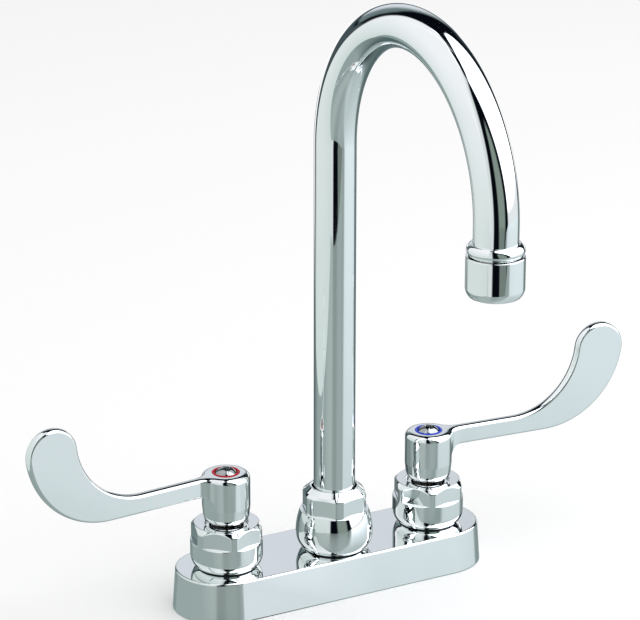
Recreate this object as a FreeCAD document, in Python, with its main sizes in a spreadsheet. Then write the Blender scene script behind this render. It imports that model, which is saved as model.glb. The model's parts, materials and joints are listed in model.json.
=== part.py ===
import FreeCAD
import Part
import Sketcher
import math
import os
from types import SimpleNamespace

# A two-handle gooseneck faucet for a deck with two holes 4 inches apart.
# Frame: X runs along the deck plate, -Y points at the user, Z is up, and the origin is the
# middle of the deck plate's underside, in the plane of the deck.

# Driving sizes, in millimetres and degrees. Every other size and place follows from these.
SIZES = {
    # deck plate and what it stands on
    "valve_centres": 101.6,
    "plate_end_offset": 2.5,
    "plate_width": 43.1,
    "plate_height": 18.3,
    "plate_draft": 4.0,
    "plate_wall": 2.4,
    "plate_edge_round": 0.9,
    "gasket_thickness": 3.0,
    "gasket_margin": 0.5,
    "deck_thickness": 16.0,
    "washer_radius": 16.0,
    "washer_thickness": 2.0,
    "lock_nut_flats": 28.6,
    "lock_nut_height": 7.0,
    # brass waterway under the plate
    "shank_radius": 10.48,
    "shank_bore": 6.2,
    "shank_length": 45.0,
    "shank_chamfer": 1.0,
    "inlet_thread": 13.0,
    "relief_width": 2.0,
    "relief_depth": 1.0,
    "collar_radius": 13.2,
    "neck_radius": 11.3,
    "neck_rise": 12.7,
    "chamber_radius": 9.0,
    "seat_thickness": 1.8,
    "crossover_radius": 4.6,
    "crossover_bore": 3.1,
    "post_rise": 12.2,
    "post_bore": 9.25,
    "post_wall": 2.75,
    "post_floor": 2.5,
    "spout_forward": 4.93,
    # running and threaded clearances
    "running_gap": 0.05,
    "thread_gap": 0.05,
    "loose_gap": 0.3,
    "seal_gap": 0.02,
    # ceramic disc cartridges
    "seal_height": 1.4,
    "seal_width": 1.7,
    "disc_radius": 6.9,
    "disc_height": 2.4,
    "port_radius": 1.9,
    "port_offset": 3.7,
    "slot_width": 2.5,
    "slot_length": 11.0,
    "slot_depth": 1.0,
    "dog_width": 5.0,
    "dog_height": 2.6,
    "window_width": 6.0,
    "window_height": 2.2,
    "housing_wall": 1.0,
    "housing_step": 1.3,
    "housing_flange_margin": 0.4,
    "flange_height": 2.2,
    "housing_neck": 6.6,
    "housing_neck_rise": 3.8,
    "stem_radius": 4.0,
    "stem_flat": 3.2,
    "stem_ring_drop": 14.0,
    "stem_ring_section": 1.0,
    "stem_ring_groove": 1.2,
    "clip_radius": 5.4,
    "clip_thickness": 0.8,
    "clip_opening": 3.0,
    "clip_depth": 0.8,
    # hexagonal bonnet nuts over the cartridges
    "bonnet_rim": 0.63,
    "bonnet_swell": 2.85,
    "bonnet_curve": 5.7,
    "bonnet_ledge": 12.7,
    "bonnet_flats": 28.7,
    "bonnet_corner_rise": 18.6,
    "bonnet_rise": 21.0,
    "bonnet_top": 13.7,
    "bonnet_recess": 9.7,
    "bonnet_recess_depth": 2.0,
    "bonnet_lip_gap": 0.8,
    "bonnet_turn_hot": 16.2,
    "bonnet_turn_cold": 7.1,
    "bonnet_ring_section": 1.0,
    # wrist-blade levers
    "lever_forward": 4.8,
    "hub_gap": 0.6,
    "hub_height": 22.0,
    "hub_base": 8.0,
    "hub_curve": 3.2,
    "hub_waist": 10.1,
    "hub_radius": 10.5,
    "hub_straight": 7.1,
    "blade_thickness": 4.6,
    "neck_depth": 8.7,
    "neck_blend": 8.0,
    "neck_curve": 5.0,
    "tip_reach": 85.0,
    "tip_rise": 27.0,
    "tip_radius": 11.7,
    "inner_bend": 31.5,
    "outer_bend": 39.2,
    "lever_edge_round": 0.9,
    "index_ring_radius": 6.1,
    "index_ring_width": 1.15,
    "index_ring_depth": 1.4,
    "index_ring_proud": 0.3,
    "index_ring_chamfer": 0.3,
    "screw_head_gap": 0.1,
    "screw_head_edge": 1.1,
    "screw_dome": 2.6,
    "screw_radius": 1.95,
    "screw_length": 12.0,
    "cross_length": 2.8,
    "cross_width": 1.2,
    "cross_depth": 1.9,
    "lever_floor": 3.2,
    # spout nut
    "nut_base": 13.4,
    "nut_belly": 17.0,
    "nut_belly_rise": 7.7,
    "nut_shoulder": 15.1,
    "nut_ledge": 18.3,
    "nut_cap": 14.3,
    "nut_flats": 26.6,
    "nut_cap_rise": 26.3,
    "nut_chamfer": 1.1,
    "nut_cone_base": 12.9,
    "nut_cone_rim": 0.52,
    "nut_cone_height": 2.1,
    "nut_recess": 0.8,
    "nut_turn": 10.9,
    # swivelling spout
    "tube_radius": 9.08,
    "tube_wall": 1.0,
    "bend_radius": 64.3,
    "bend_height": 203.6,
    "outlet_drop": 13.6,
    "foot_length": 13.5,
    "foot_bore": 6.3,
    "foot_flange_margin": 0.4,
    "foot_flange_height": 2.5,
    "foot_sleeve": 12.0,
    "foot_ring_section": 1.7,
    "foot_ring_groove": 2.0,
    "foot_ring_low": 3.0,
    "foot_ring_spacing": 6.0,
    "bushing_height": 5.5,
    "stop_pin_radius": 0.75,
    "stop_pin_depth": 5.0,
    "swing_each_way": 60.0,
    "swing_margin": 4.8,
    # outlet
    "outlet_wall": 1.5,
    "bead_seat": 2.4,
    "bead_belly": 1.9,
    "bead_rise": 4.7,
    "bead_overhang": 1.05,
    "bead_crown_wall": 0.5,
    "outlet_groove_depth": 0.65,
    "outlet_thread_length": 8.4,
    "outlet_bore": 7.9,
    "shell_wall": 1.2,
    "shell_gap": 0.5,
    "shell_length": 16.7,
    "shell_top_round": 0.5,
    "shell_curve": 3.7,
    "shell_foot_inset": 1.55,
    "shell_mouth": 8.8,
    "shell_lip": 1.5,
    "shell_shelf": 0.65,
    "outlet_washer_height": 1.6,
    "outlet_washer_bore": 7.6,
    "screen_height": 1.0,
    "jet_radius": 0.9,
    "jet_circle": 6.4,
    "jet_count": 12,
    "inner_jet_circle": 3.0,
    "inner_jet_count": 6,
}

HEXAGON_CORNER = 1 / math.sqrt(3)
ROUND = 360
QUARTER = 90
HALF = 180
# how far a cutting outline runs past the solid that it cuts
PAST = 1
# lengths nearer than this are taken as equal
NEAR = 0.001


class Size:
    """A length worked out from the sheet: its value now, and the expression that keeps it bound."""

    def __init__(self, value, text):
        self.value = value
        self.text = text

    def __add__(self, other):
        return join(self, "+", other, self.value + worth(other))

    def __radd__(self, other):
        return join(other, "+", self, worth(other) + self.value)

    def __sub__(self, other):
        return join(self, "-", other, self.value - worth(other))

    def __rsub__(self, other):
        return join(other, "-", self, worth(other) - self.value)

    def __mul__(self, other):
        return join(self, "*", other, self.value * worth(other))

    def __rmul__(self, other):
        return join(other, "*", self, worth(other) * self.value)

    def __truediv__(self, other):
        return join(self, "/", other, self.value / worth(other))

    def __neg__(self):
        return join(0, "-", self, -self.value)

    def root(self):
        return Size(math.sqrt(self.value), f"sqrt({self.text})")


def worth(amount):
    return amount.value if isinstance(amount, Size) else amount


def written(amount):
    return amount.text if isinstance(amount, Size) else repr(amount)


def join(first, sign, second, value):
    return Size(value, f"({written(first)} {sign} {written(second)})")


def bind(thing, path, amount):
    """Ties one property of an object to the sheet."""
    thing.setExpression(path, written(amount))


def make_sheet():
    sheet = doc.addObject("Spreadsheet::Sheet", "Sizes")
    for row, (name, value) in enumerate(SIZES.items(), start=1):
        sheet.set(f"A{row}", name)
        sheet.set(f"B{row}", str(value))
        sheet.setAlias(f"B{row}", name)
    doc.recompute()


def new_body(label, x=0, y=0, turn=0):
    """An empty body whose own axis stands at x, y and is turned about it."""
    body = doc.addObject("PartDesign::Body", label)
    body.Label = label
    body.Placement.Rotation = FreeCAD.Rotation(FreeCAD.Vector(0, 0, 1), 0)
    place(body, x, y, 0, turn)
    return body


def place(thing, x, y, z, turn=0):
    bind(thing, "Placement.Base.x", x)
    bind(thing, "Placement.Base.y", y)
    bind(thing, "Placement.Base.z", z)
    bind(thing, "Placement.Rotation.Angle", turn)


def new_sketch(body, plane, height=0):
    sketch = body.newObject("Sketcher::SketchObject", body.Name + "_sketch")
    origin_plane = next(f for f in body.Origin.OriginFeatures if f.Role == plane)
    sketch.AttachmentSupport = (origin_plane, [""])
    sketch.MapMode = "FlatFace"
    bind(sketch, "AttachmentOffset.Base.z", height)
    return sketch


def hold(sketch, geometry, end, x, y):
    """Dimensions one point of a sketch from its origin."""
    for kind, amount, axis in (("DistanceX", x, -2), ("DistanceY", y, -1)):
        if isinstance(amount, Size):
            made = sketch.addConstraint(Sketcher.Constraint(kind, -1, 1, geometry, end, amount.value))
            bind(sketch, f"Constraints[{made}]", amount)
        else:
            sketch.addConstraint(Sketcher.Constraint("PointOnObject", geometry, end, axis))


def arc_between(start, finish, radius, turn):
    """The shorter arc from start to finish, which turns left or right on its way."""
    side = 1 if turn == "left" else -1
    chord = finish - start
    rise = math.sqrt(max(radius**2 - (chord.Length / 2) ** 2, 0))
    across = FreeCAD.Vector(-chord.y, chord.x, 0).normalize()
    centre = (start + finish) * 0.5 + across * (side * rise)
    first, last = (start, finish) if turn == "left" else (finish, start)
    begin = math.atan2(first.y - centre.y, first.x - centre.x)
    end = math.atan2(last.y - centre.y, last.x - centre.x)
    if end < begin:
        end += 2 * math.pi
    circle = Part.Circle(centre, FreeCAD.Vector(0, 0, 1), radius)
    return Part.ArcOfCircle(circle, begin, end)


def draw(sketch, corners):
    """Draws a closed outline. A corner is (x, y), or (x, y, radius, turn) where an arc leaves it."""
    points = [FreeCAD.Vector(worth(c[0]), worth(c[1]), 0) for c in corners]
    ends = []
    for number, corner in enumerate(corners):
        start, finish = points[number], points[(number + 1) % len(points)]
        if len(corner) == 2:
            made = sketch.addGeometry(Part.LineSegment(start, finish), False)
            ends.append((made, 1, 2))
        else:
            radius, turn = corner[2:]
            made = sketch.addGeometry(arc_between(start, finish, worth(radius), turn), False)
            limit = sketch.addConstraint(Sketcher.Constraint("Radius", made, worth(radius)))
            bind(sketch, f"Constraints[{limit}]", radius)
            ends.append((made, 1, 2) if turn == "left" else (made, 2, 1))
    for number, corner in enumerate(corners):
        line, start, _ = ends[number]
        before, _, finish = ends[number - 1]
        sketch.addConstraint(Sketcher.Constraint("Coincident", before, finish, line, start))
        hold(sketch, line, start, corner[0], corner[1])


def draw_circle(sketch, x, y, radius):
    centre = FreeCAD.Vector(worth(x), worth(y), 0)
    circle = Part.Circle(centre, FreeCAD.Vector(0, 0, 1), worth(radius))
    made = sketch.addGeometry(circle, False)
    limit = sketch.addConstraint(Sketcher.Constraint("Radius", made, worth(radius)))
    bind(sketch, f"Constraints[{limit}]", radius)
    hold(sketch, made, 3, x, y)


def box_corners(x_low, x_high, y_low, y_high):
    return [(x_low, y_low), (x_high, y_low), (x_high, y_high), (x_low, y_high)]


def stadium_corners(half_span, half_width):
    """Two straight sides and two half-round ends, each end in two quarter turns."""
    tip = half_span + half_width
    return [
        (-half_span, -half_width),
        (half_span, -half_width, half_width, "left"),
        (tip, 0, half_width, "left"),
        (half_span, half_width),
        (-half_span, half_width, half_width, "left"),
        (-tip, 0, half_width, "left"),
    ]


def hexagon_corners(flats):
    """A hexagon with two corners on X, given the distance across its flats."""
    corner = flats * HEXAGON_CORNER
    return [
        (corner, 0),
        (corner / 2, flats / 2),
        (-corner / 2, flats / 2),
        (-corner, 0),
        (-corner / 2, -flats / 2),
        (corner / 2, -flats / 2),
    ]


def swelling_radius(across, along):
    """The radius of an arc that starts square to the axis side and gains across over along."""
    return (across * across + along * along) / (across * 2)


def feature(body, kind, sketch):
    made = body.newObject("PartDesign::" + kind, body.Name + "_" + kind)
    made.Profile = (sketch, [""])
    return made


def revolve(body, sketch, kind="Revolution"):
    made = feature(body, kind, sketch)
    made.ReferenceAxis = (sketch, ["V_Axis"])
    made.Angle = ROUND
    return made


def turned(label, corners, **where):
    """A body turned about its own axis from a half section of (radius, height) corners."""
    body = new_body(label, **where)
    sketch = new_sketch(body, "XZ_Plane")
    draw(sketch, corners)
    revolve(body, sketch)
    return body


def ring(label, inner, outer, low, high, **where):
    return turned(label, box_corners(inner, outer, low, high), **where)


def seal_ring(label, middle, section, height, **where):
    """A round rubber ring of a given section."""
    body = new_body(label, **where)
    sketch = new_sketch(body, "XZ_Plane")
    draw_circle(sketch, middle, height, section / 2)
    revolve(body, sketch)
    return body


def pad(body, sketch, length):
    made = feature(body, "Pad", sketch)
    bind(made, "Length", length)
    return made


def pocket(body, sketch, length, upwards=False):
    made = feature(body, "Pocket", sketch)
    made.Reversed = upwards
    bind(made, "Length", length)
    check_cut(body, made)
    return made


def groove(body, sketch):
    made = revolve(body, sketch, "Groove")
    check_cut(body, made)
    return made


def check_cut(body, cut):
    """Stops where a cut removes nothing."""
    doc.recompute()
    before = cut.BaseFeature.Shape.Volume
    if not cut.Shape.Volume < before - NEAR:
        raise ValueError(f"{cut.Label} of {body.Label} removes nothing")


def edges_where(shape, wanted):
    return [f"Edge{n}" for n, edge in enumerate(shape.Edges, start=1) if wanted(edge)]


def round_edges(body, wanted, radius):
    doc.recompute()
    base = body.Tip
    made = body.newObject("PartDesign::Fillet", body.Name + "_Fillet")
    made.Base = (base, edges_where(base.Shape, wanted))
    bind(made, "Radius", radius)
    doc.recompute()
    return made


def polar_pattern(body, cut, count):
    """Repeats a cut about the body's own axis."""
    pattern = body.newObject("PartDesign::PolarPattern", body.Name + "_PolarPattern")
    pattern.Originals = [cut]
    axis = next(f for f in body.Origin.OriginFeatures if f.Role == "Z_Axis")
    pattern.Axis = (axis, [""])
    pattern.Angle = ROUND
    bind(pattern, "Occurrences", count)
    body.Tip = pattern


def flatten_to_hexagon(body, flats, low, high):
    """Mills six flats above the ledge at low, with a cutter that runs past the hexagon's corners."""
    sketch = new_sketch(body, "XY_Plane", low)
    draw(sketch, hexagon_corners(flats))
    draw_circle(sketch, 0, 0, flats * HEXAGON_CORNER + PAST)
    pocket(body, sketch, high - low, upwards=True)


doc = FreeCAD.newDocument("gooseneck_faucet")
make_sheet()
s = SimpleNamespace(**{name: Size(value, "Sizes." + name) for name, value in SIZES.items()})

# Where each axis stands
hot_x = -s.valve_centres / 2
cold_x = s.valve_centres / 2
spout_y = -s.spout_forward

# Heights above the deck that more than one piece shares
plate_roof = s.plate_height - s.plate_wall
crossover_height = (s.gasket_thickness + plate_roof) / 2
shank_end = -s.shank_length
inlet_top = shank_end + s.inlet_thread + s.shank_chamfer
seat_top = s.gasket_thickness + s.seat_thickness
fixed_disc_low = seat_top + s.seal_height
turning_disc_low = fixed_disc_low + s.disc_height
dog_low = turning_disc_low + s.disc_height
dog_top = dog_low + s.dog_height
neck_top = s.plate_height + s.neck_rise
flange_top = neck_top + s.flange_height
housing_top = flange_top + s.housing_neck_rise
clip_low = housing_top + s.running_gap
clip_top = clip_low + s.clip_thickness
bonnet_ledge = s.plate_height + s.bonnet_ledge
bonnet_face = s.plate_height + s.bonnet_rise
hub_low = bonnet_face + s.hub_gap
lever_top = hub_low + s.hub_height
ring_seat = lever_top - s.index_ring_depth
lever_floor = ring_seat - s.lever_floor
post_top = s.plate_height + s.post_rise
foot_flange_top = post_top + s.foot_flange_height
bushing_top = foot_flange_top + s.bushing_height
nut_ledge = s.plate_height + s.nut_ledge
tube_end = s.bend_height - s.outlet_drop
bead_low = tube_end + s.bead_seat
shell_top = bead_low - s.shell_gap
shell_low = shell_top - s.shell_length
thread_low = bead_low - s.outlet_thread_length
insert_low = shell_low + s.shell_lip + s.screen_height
insert_top = thread_low - s.outlet_washer_height

# Radii and spans that mating pieces share
plate_end = s.valve_centres / 2 + s.plate_end_offset
stem_bore = s.stem_radius + s.running_gap
neck_thread = s.neck_radius + s.thread_gap
post_radius = s.post_bore + s.post_wall
post_thread = post_radius + s.thread_gap
tube_bore = s.tube_radius - s.tube_wall
foot_radius = s.post_bore - s.running_gap
foot_groove = s.post_bore - s.foot_ring_section - s.seal_gap
stem_groove = stem_bore - s.stem_ring_section - s.seal_gap
foot_flange = post_radius - s.foot_flange_margin
pin_circle = (s.post_bore + post_radius) / 2
ring_bore = s.index_ring_radius - s.index_ring_width
outlet_socket = s.tube_radius + s.seal_gap
outlet_thread = outlet_socket + s.outlet_wall
shell_thread = outlet_thread + s.thread_gap
shell_radius = shell_thread + s.shell_wall
shell_inner = shell_thread - s.shell_shelf


def make_deck_plate():
    """Hollow cast cover with drafted sides, three holes and a softened top edge."""
    body = new_body("deck_plate")
    half_width = s.plate_width / 2
    outline = new_sketch(body, "XY_Plane")
    draw(outline, stadium_corners(plate_end, half_width))
    block = pad(body, outline, s.plate_height)
    bind(block, "TaperAngle", -s.plate_draft)
    top = SIZES["plate_height"]
    round_edges(body, lambda e: all(abs(v.Z - top) < NEAR for v in e.Vertexes), s.plate_edge_round)
    hollow = new_sketch(body, "XY_Plane")
    draw(hollow, stadium_corners(plate_end, half_width - s.plate_wall))
    cavity = pocket(body, hollow, plate_roof, upwards=True)
    bind(cavity, "TaperAngle", -s.plate_draft)
    holes = new_sketch(body, "XY_Plane", plate_roof - PAST)
    draw_circle(holes, hot_x, 0, s.neck_radius + s.loose_gap)
    draw_circle(holes, cold_x, 0, s.neck_radius + s.loose_gap)
    draw_circle(holes, 0, spout_y, post_radius + s.loose_gap)
    pocket(body, holes, s.plate_wall + PAST * 2, upwards=True)
    return body


def make_deck_gasket():
    """Flat rubber sheet inside the plate's rim, which seals it to the deck."""
    body = new_body("deck_gasket")
    sketch = new_sketch(body, "XY_Plane")
    half_width = s.plate_width / 2 - s.plate_wall - s.gasket_margin
    draw(sketch, stadium_corners(plate_end, half_width))
    for x in (hot_x, cold_x):
        draw_circle(sketch, x, 0, s.shank_radius + s.loose_gap)
    pad(body, sketch, s.gasket_thickness)
    return body


def valve_casting(side, x):
    """Outside of one valve body: threaded shank, collar under the plate and threaded neck."""
    relief = s.shank_radius - s.relief_depth
    corners = [
        (0, shank_end),
        (s.shank_radius - s.shank_chamfer, shank_end),
        (s.shank_radius, shank_end + s.shank_chamfer),
        (s.shank_radius, inlet_top),
        (relief, inlet_top),
        (relief, inlet_top + s.relief_width),
        (s.shank_radius, inlet_top + s.relief_width),
        (s.shank_radius, s.gasket_thickness),
        (s.collar_radius, s.gasket_thickness),
        (s.collar_radius, plate_roof),
        (s.neck_radius, plate_roof),
        (s.neck_radius, neck_top),
        (0, neck_top),
    ]
    return turned("valve_casting_" + side, corners, x=x)


def valve_core(side, x):
    """Inside of one valve body: supply bore, seat and cartridge chamber."""
    corners = [
        (0, shank_end - PAST),
        (s.shank_bore, shank_end - PAST),
        (s.shank_bore, seat_top),
        (s.chamber_radius, seat_top),
        (s.chamber_radius, neck_top + PAST),
        (0, neck_top + PAST),
    ]
    return turned("valve_core_" + side, corners, x=x)


def crossover(label, radius):
    """A round bar between the valve axes, or its bore."""
    bar = doc.addObject("Part::Cylinder", label)
    bar.Label = label
    bar.Placement.Rotation = FreeCAD.Rotation(FreeCAD.Vector(0, 1, 0), QUARTER)
    bind(bar, "Radius", radius)
    bind(bar, "Height", s.valve_centres)
    bind(bar, "Placement.Base.x", hot_x)
    bind(bar, "Placement.Base.z", crossover_height)
    return bar


def make_waterway_body():
    """One brass casting: two valve bodies, the tube between them and the spout's post."""
    outside = doc.addObject("Part::MultiFuse", "waterway_outside")
    outside.Shapes = [
        valve_casting("hot", hot_x),
        valve_casting("cold", cold_x),
        crossover("crossover_outside", s.crossover_radius),
        ring("post_outside", 0, post_radius, s.gasket_thickness, post_top, y=spout_y),
    ]
    inside = doc.addObject("Part::MultiFuse", "waterway_inside")
    post_low = s.gasket_thickness + s.post_floor
    pin_low = post_top - s.stop_pin_depth
    pin_hole = s.stop_pin_radius + s.seal_gap
    inside.Shapes = [
        valve_core("hot", hot_x),
        valve_core("cold", cold_x),
        crossover("crossover_inside", s.crossover_bore),
        ring("post_inside", 0, s.post_bore, post_low, post_top + PAST, y=spout_y),
        ring("pin_hole", 0, pin_hole, pin_low, post_top + PAST, y=spout_y + pin_circle),
    ]
    casting = doc.addObject("Part::Cut", "waterway_body")
    casting.Base = outside
    casting.Tool = inside
    return casting


def make_mounting(side, x):
    """Washer and lock nut that clamp one shank under the deck."""
    bore = s.shank_radius + s.thread_gap
    washer_low = -s.deck_thickness - s.washer_thickness
    washer = ring("mounting_washer_" + side, bore, s.washer_radius, washer_low, -s.deck_thickness, x=x)
    nut = new_body("mounting_nut_" + side, x=x)
    sketch = new_sketch(nut, "XY_Plane", washer_low - s.lock_nut_height)
    draw(sketch, hexagon_corners(s.lock_nut_flats))
    draw_circle(sketch, 0, 0, bore)
    pad(nut, sketch, s.lock_nut_height)
    return [washer, nut]


def ceramic_disc(label, low, x, turn):
    """Ceramic disc with two round ports across its axis."""
    body = new_body(label, x=x, turn=turn)
    sketch = new_sketch(body, "XY_Plane", low)
    draw_circle(sketch, 0, 0, s.disc_radius)
    draw_circle(sketch, s.port_offset, 0, s.port_radius)
    draw_circle(sketch, -s.port_offset, 0, s.port_radius)
    pad(body, sketch, s.disc_height)
    return body


def centred_box(body, height, width, length):
    """A rectangle about the axis, width along X and length along Y."""
    sketch = new_sketch(body, "XY_Plane", height)
    draw(sketch, box_corners(-width / 2, width / 2, -length / 2, length / 2))
    return sketch


def make_turning_disc(side, x, turn):
    """The disc that the stem turns by its tab, which lies in a slot across the disc's top."""
    body = ceramic_disc("turning_disc_" + side, turning_disc_low, x, turn)
    slot = centred_box(body, dog_low, s.slot_width, s.slot_length)
    pocket(body, slot, s.slot_depth)
    return body


def make_housing(side, x):
    """Brass cartridge housing: skirt round the discs, guide in the chamber, flange and neck."""
    skirt = s.disc_radius + s.running_gap * 2
    guide = s.chamber_radius - s.running_gap
    ceiling = dog_top + s.running_gap * 2
    step = ceiling + s.housing_step
    flange = s.neck_radius - s.housing_flange_margin
    corners = [
        (skirt, seat_top + s.loose_gap),
        (skirt + s.housing_wall, seat_top + s.loose_gap),
        (skirt + s.housing_wall, step),
        (guide, step),
        (guide, neck_top),
        (flange, neck_top),
        (flange, flange_top),
        (s.housing_neck, flange_top),
        (s.housing_neck, housing_top),
        (stem_bore, housing_top),
        (stem_bore, ceiling),
        (skirt, ceiling),
    ]
    body = turned("cartridge_housing_" + side, corners, x=x)
    windows = new_sketch(body, "XZ_Plane")
    half = s.window_width / 2
    draw(windows, box_corners(-half, half, ceiling - s.window_height, ceiling))
    opening = feature(body, "Pocket", windows)
    opening.Type = "ThroughAll"
    opening.Midplane = True
    check_cut(body, opening)
    return body


def make_stem(side, x, turn):
    """Brass stem: tab and dog that turn the disc, sealed shaft, clip groove and flatted top."""
    clip_groove = s.stem_radius - s.clip_depth
    ring_top = neck_top - s.stem_ring_drop + s.stem_ring_groove
    ring_low = neck_top - s.stem_ring_drop
    stem_top = lever_floor - s.loose_gap
    corners = [
        (0, dog_low),
        (s.stem_radius, dog_low),
        (s.stem_radius, ring_low),
        (stem_groove, ring_low),
        (stem_groove, ring_top),
        (s.stem_radius, ring_top),
        (s.stem_radius, clip_low),
        (clip_groove, clip_low),
        (clip_groove, clip_top),
        (s.stem_radius, clip_top),
        (s.stem_radius, stem_top),
        (0, stem_top),
    ]
    body = turned("stem_" + side, corners, x=x, turn=turn)
    length = s.slot_length - s.running_gap * 4
    pad(body, centred_box(body, dog_low, s.dog_width, length), s.dog_height)
    tab_width = s.slot_width - s.running_gap * 2
    tab_depth = s.slot_depth - s.running_gap
    pad(body, centred_box(body, dog_low - tab_depth, tab_width, length), tab_depth)
    flats = new_sketch(body, "XY_Plane", clip_top + s.loose_gap)
    reach = s.stem_radius + PAST
    draw(flats, box_corners(s.stem_flat, reach, -reach, reach))
    draw(flats, box_corners(-reach, -s.stem_flat, -reach, reach))
    pocket(body, flats, stem_top - clip_top, upwards=True)
    tapping = new_sketch(body, "XY_Plane", stem_top)
    draw_circle(tapping, 0, 0, s.screw_radius + s.thread_gap)
    pocket(body, tapping, s.screw_length)
    return body


def make_clip(side, x):
    """Open snap ring in the stem's groove, above the housing."""
    body = new_body("retaining_clip_" + side, x=x)
    sketch = new_sketch(body, "XY_Plane", clip_low)
    draw_circle(sketch, 0, 0, s.clip_radius)
    draw_circle(sketch, 0, 0, s.stem_radius - s.clip_depth + s.seal_gap)
    pad(body, sketch, s.clip_thickness)
    gap = new_sketch(body, "XY_Plane", clip_low)
    half = s.clip_opening / 2
    draw(gap, box_corners(-half, half, -s.clip_radius - PAST, 0))
    pocket(body, gap, s.clip_thickness, upwards=True)
    return body


def make_cartridge(side, x, turn):
    """What the bonnet nut holds in one valve body, closed: the two discs' ports stand square."""
    seal_bore = s.disc_radius - s.seal_width
    seal = ring("seat_seal_" + side, seal_bore, s.disc_radius, seat_top, fixed_disc_low, x=x)
    stem_ring_height = neck_top - s.stem_ring_drop + s.stem_ring_groove / 2
    stem_ring_middle = stem_groove + s.stem_ring_section / 2
    return [
        seal,
        ceramic_disc("fixed_disc_" + side, fixed_disc_low, x, turn + QUARTER),
        make_turning_disc(side, x, turn),
        make_housing(side, x),
        make_stem(side, x, turn),
        seal_ring("stem_seal_" + side, stem_ring_middle, s.stem_ring_section, stem_ring_height, x=x),
        make_clip(side, x),
    ]


def make_bonnet(side, x, turn):
    """Hexagonal bonnet nut with its rounded foot, and the rubber ring under it."""
    groove_radius = neck_thread + s.bonnet_ring_section + s.seal_gap
    groove_top = s.plate_height + s.bonnet_ring_section + s.seal_gap
    foot = groove_radius + s.bonnet_rim
    radius = foot + s.bonnet_swell
    curve = swelling_radius(s.bonnet_swell, s.bonnet_curve)
    lip = s.housing_neck + s.bonnet_lip_gap
    recess_floor = bonnet_face - s.bonnet_recess_depth
    corners = [
        (groove_radius, s.plate_height),
        (foot, s.plate_height, curve, "left"),
        (radius, s.plate_height + s.bonnet_curve),
        (radius, s.plate_height + s.bonnet_corner_rise),
        (s.bonnet_top, bonnet_face),
        (s.bonnet_recess, bonnet_face),
        (s.bonnet_recess, recess_floor),
        (lip, recess_floor),
        (lip, flange_top),
        (neck_thread, flange_top),
        (neck_thread, groove_top),
        (groove_radius, groove_top),
    ]
    body = turned("bonnet_nut_" + side, corners, x=x, turn=turn)
    flatten_to_hexagon(body, s.bonnet_flats, bonnet_ledge, bonnet_face + PAST)
    middle = neck_thread + s.bonnet_ring_section / 2
    height = s.plate_height + s.bonnet_ring_section / 2
    seal = seal_ring("bonnet_seal_" + side, middle, s.bonnet_ring_section, height, x=x)
    return [body, seal]


def plan_corners(reach):
    """The lever from above: round hub, a soft blend each side and the neck out to reach."""
    half = s.blade_thickness / 2
    side = half + s.neck_blend
    span = s.hub_radius + s.neck_blend
    neck_x = (span * span - side * side).root()
    touch_x = neck_x * s.hub_radius / span
    touch_y = side * s.hub_radius / span
    return [
        (reach, half),
        (neck_x, half, s.neck_blend, "right"),
        (touch_x, touch_y, s.hub_radius, "left"),
        (-s.hub_radius, 0, s.hub_radius, "left"),
        (touch_x, -touch_y, s.neck_blend, "right"),
        (neck_x, -half),
        (reach, -half),
    ]


def side_corners():
    """The lever from the side: hub, web, straight neck, then two bends up to a round tip."""
    half = s.blade_thickness / 2
    side = half + s.neck_blend
    span = s.hub_radius + s.neck_blend
    touch_x = (span * span - side * side).root() * s.hub_radius / span
    low = lever_top - s.neck_depth
    tip_z = lever_top + s.tip_rise
    # where each bend starts, so that it runs tangent into the round tip
    inner_reach = s.inner_bend + s.tip_radius
    inner_drop = s.inner_bend - s.tip_rise
    inner_x = s.tip_reach - (inner_reach * inner_reach - inner_drop * inner_drop).root()
    inner_z = lever_top + s.inner_bend
    inner_share = s.inner_bend / inner_reach
    outer_reach = s.outer_bend - s.tip_radius
    outer_drop = s.outer_bend - s.tip_rise - s.neck_depth
    outer_x = s.tip_reach - (outer_reach * outer_reach - outer_drop * outer_drop).root()
    outer_z = low + s.outer_bend
    outer_share = s.outer_bend / outer_reach
    outer_tip = (
        outer_x + (s.tip_reach - outer_x) * outer_share,
        outer_z + (tip_z - outer_z) * outer_share,
    )
    inner_tip = (
        inner_x + (s.tip_reach - inner_x) * inner_share,
        inner_z + (tip_z - inner_z) * inner_share,
    )
    return [
        (-s.hub_radius - PAST, low - s.neck_curve),
        (touch_x, low - s.neck_curve, s.neck_curve, "right"),
        (touch_x + s.neck_curve, low),
        (outer_x, low, s.outer_bend, "left"),
        outer_tip + (s.tip_radius, "left"),
        (s.tip_reach, tip_z + s.tip_radius, s.tip_radius, "left"),
        inner_tip + (s.inner_bend, "right"),
        (inner_x, lever_top),
        (-s.hub_radius - PAST, lever_top),
    ]


def hub_corners():
    """Half section of the hub up to its rounded top edge, on the side away from the blade."""
    curve = swelling_radius(s.hub_waist - s.hub_base, s.hub_curve)
    under_edge = lever_top - s.lever_edge_round * 2
    return [
        (0, hub_low),
        (-s.hub_base, hub_low, curve, "right"),
        (-s.hub_waist, hub_low + s.hub_curve),
        (-s.hub_radius, hub_low + s.hub_straight),
        (-s.hub_radius, under_edge),
        (0, under_edge),
    ]


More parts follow.
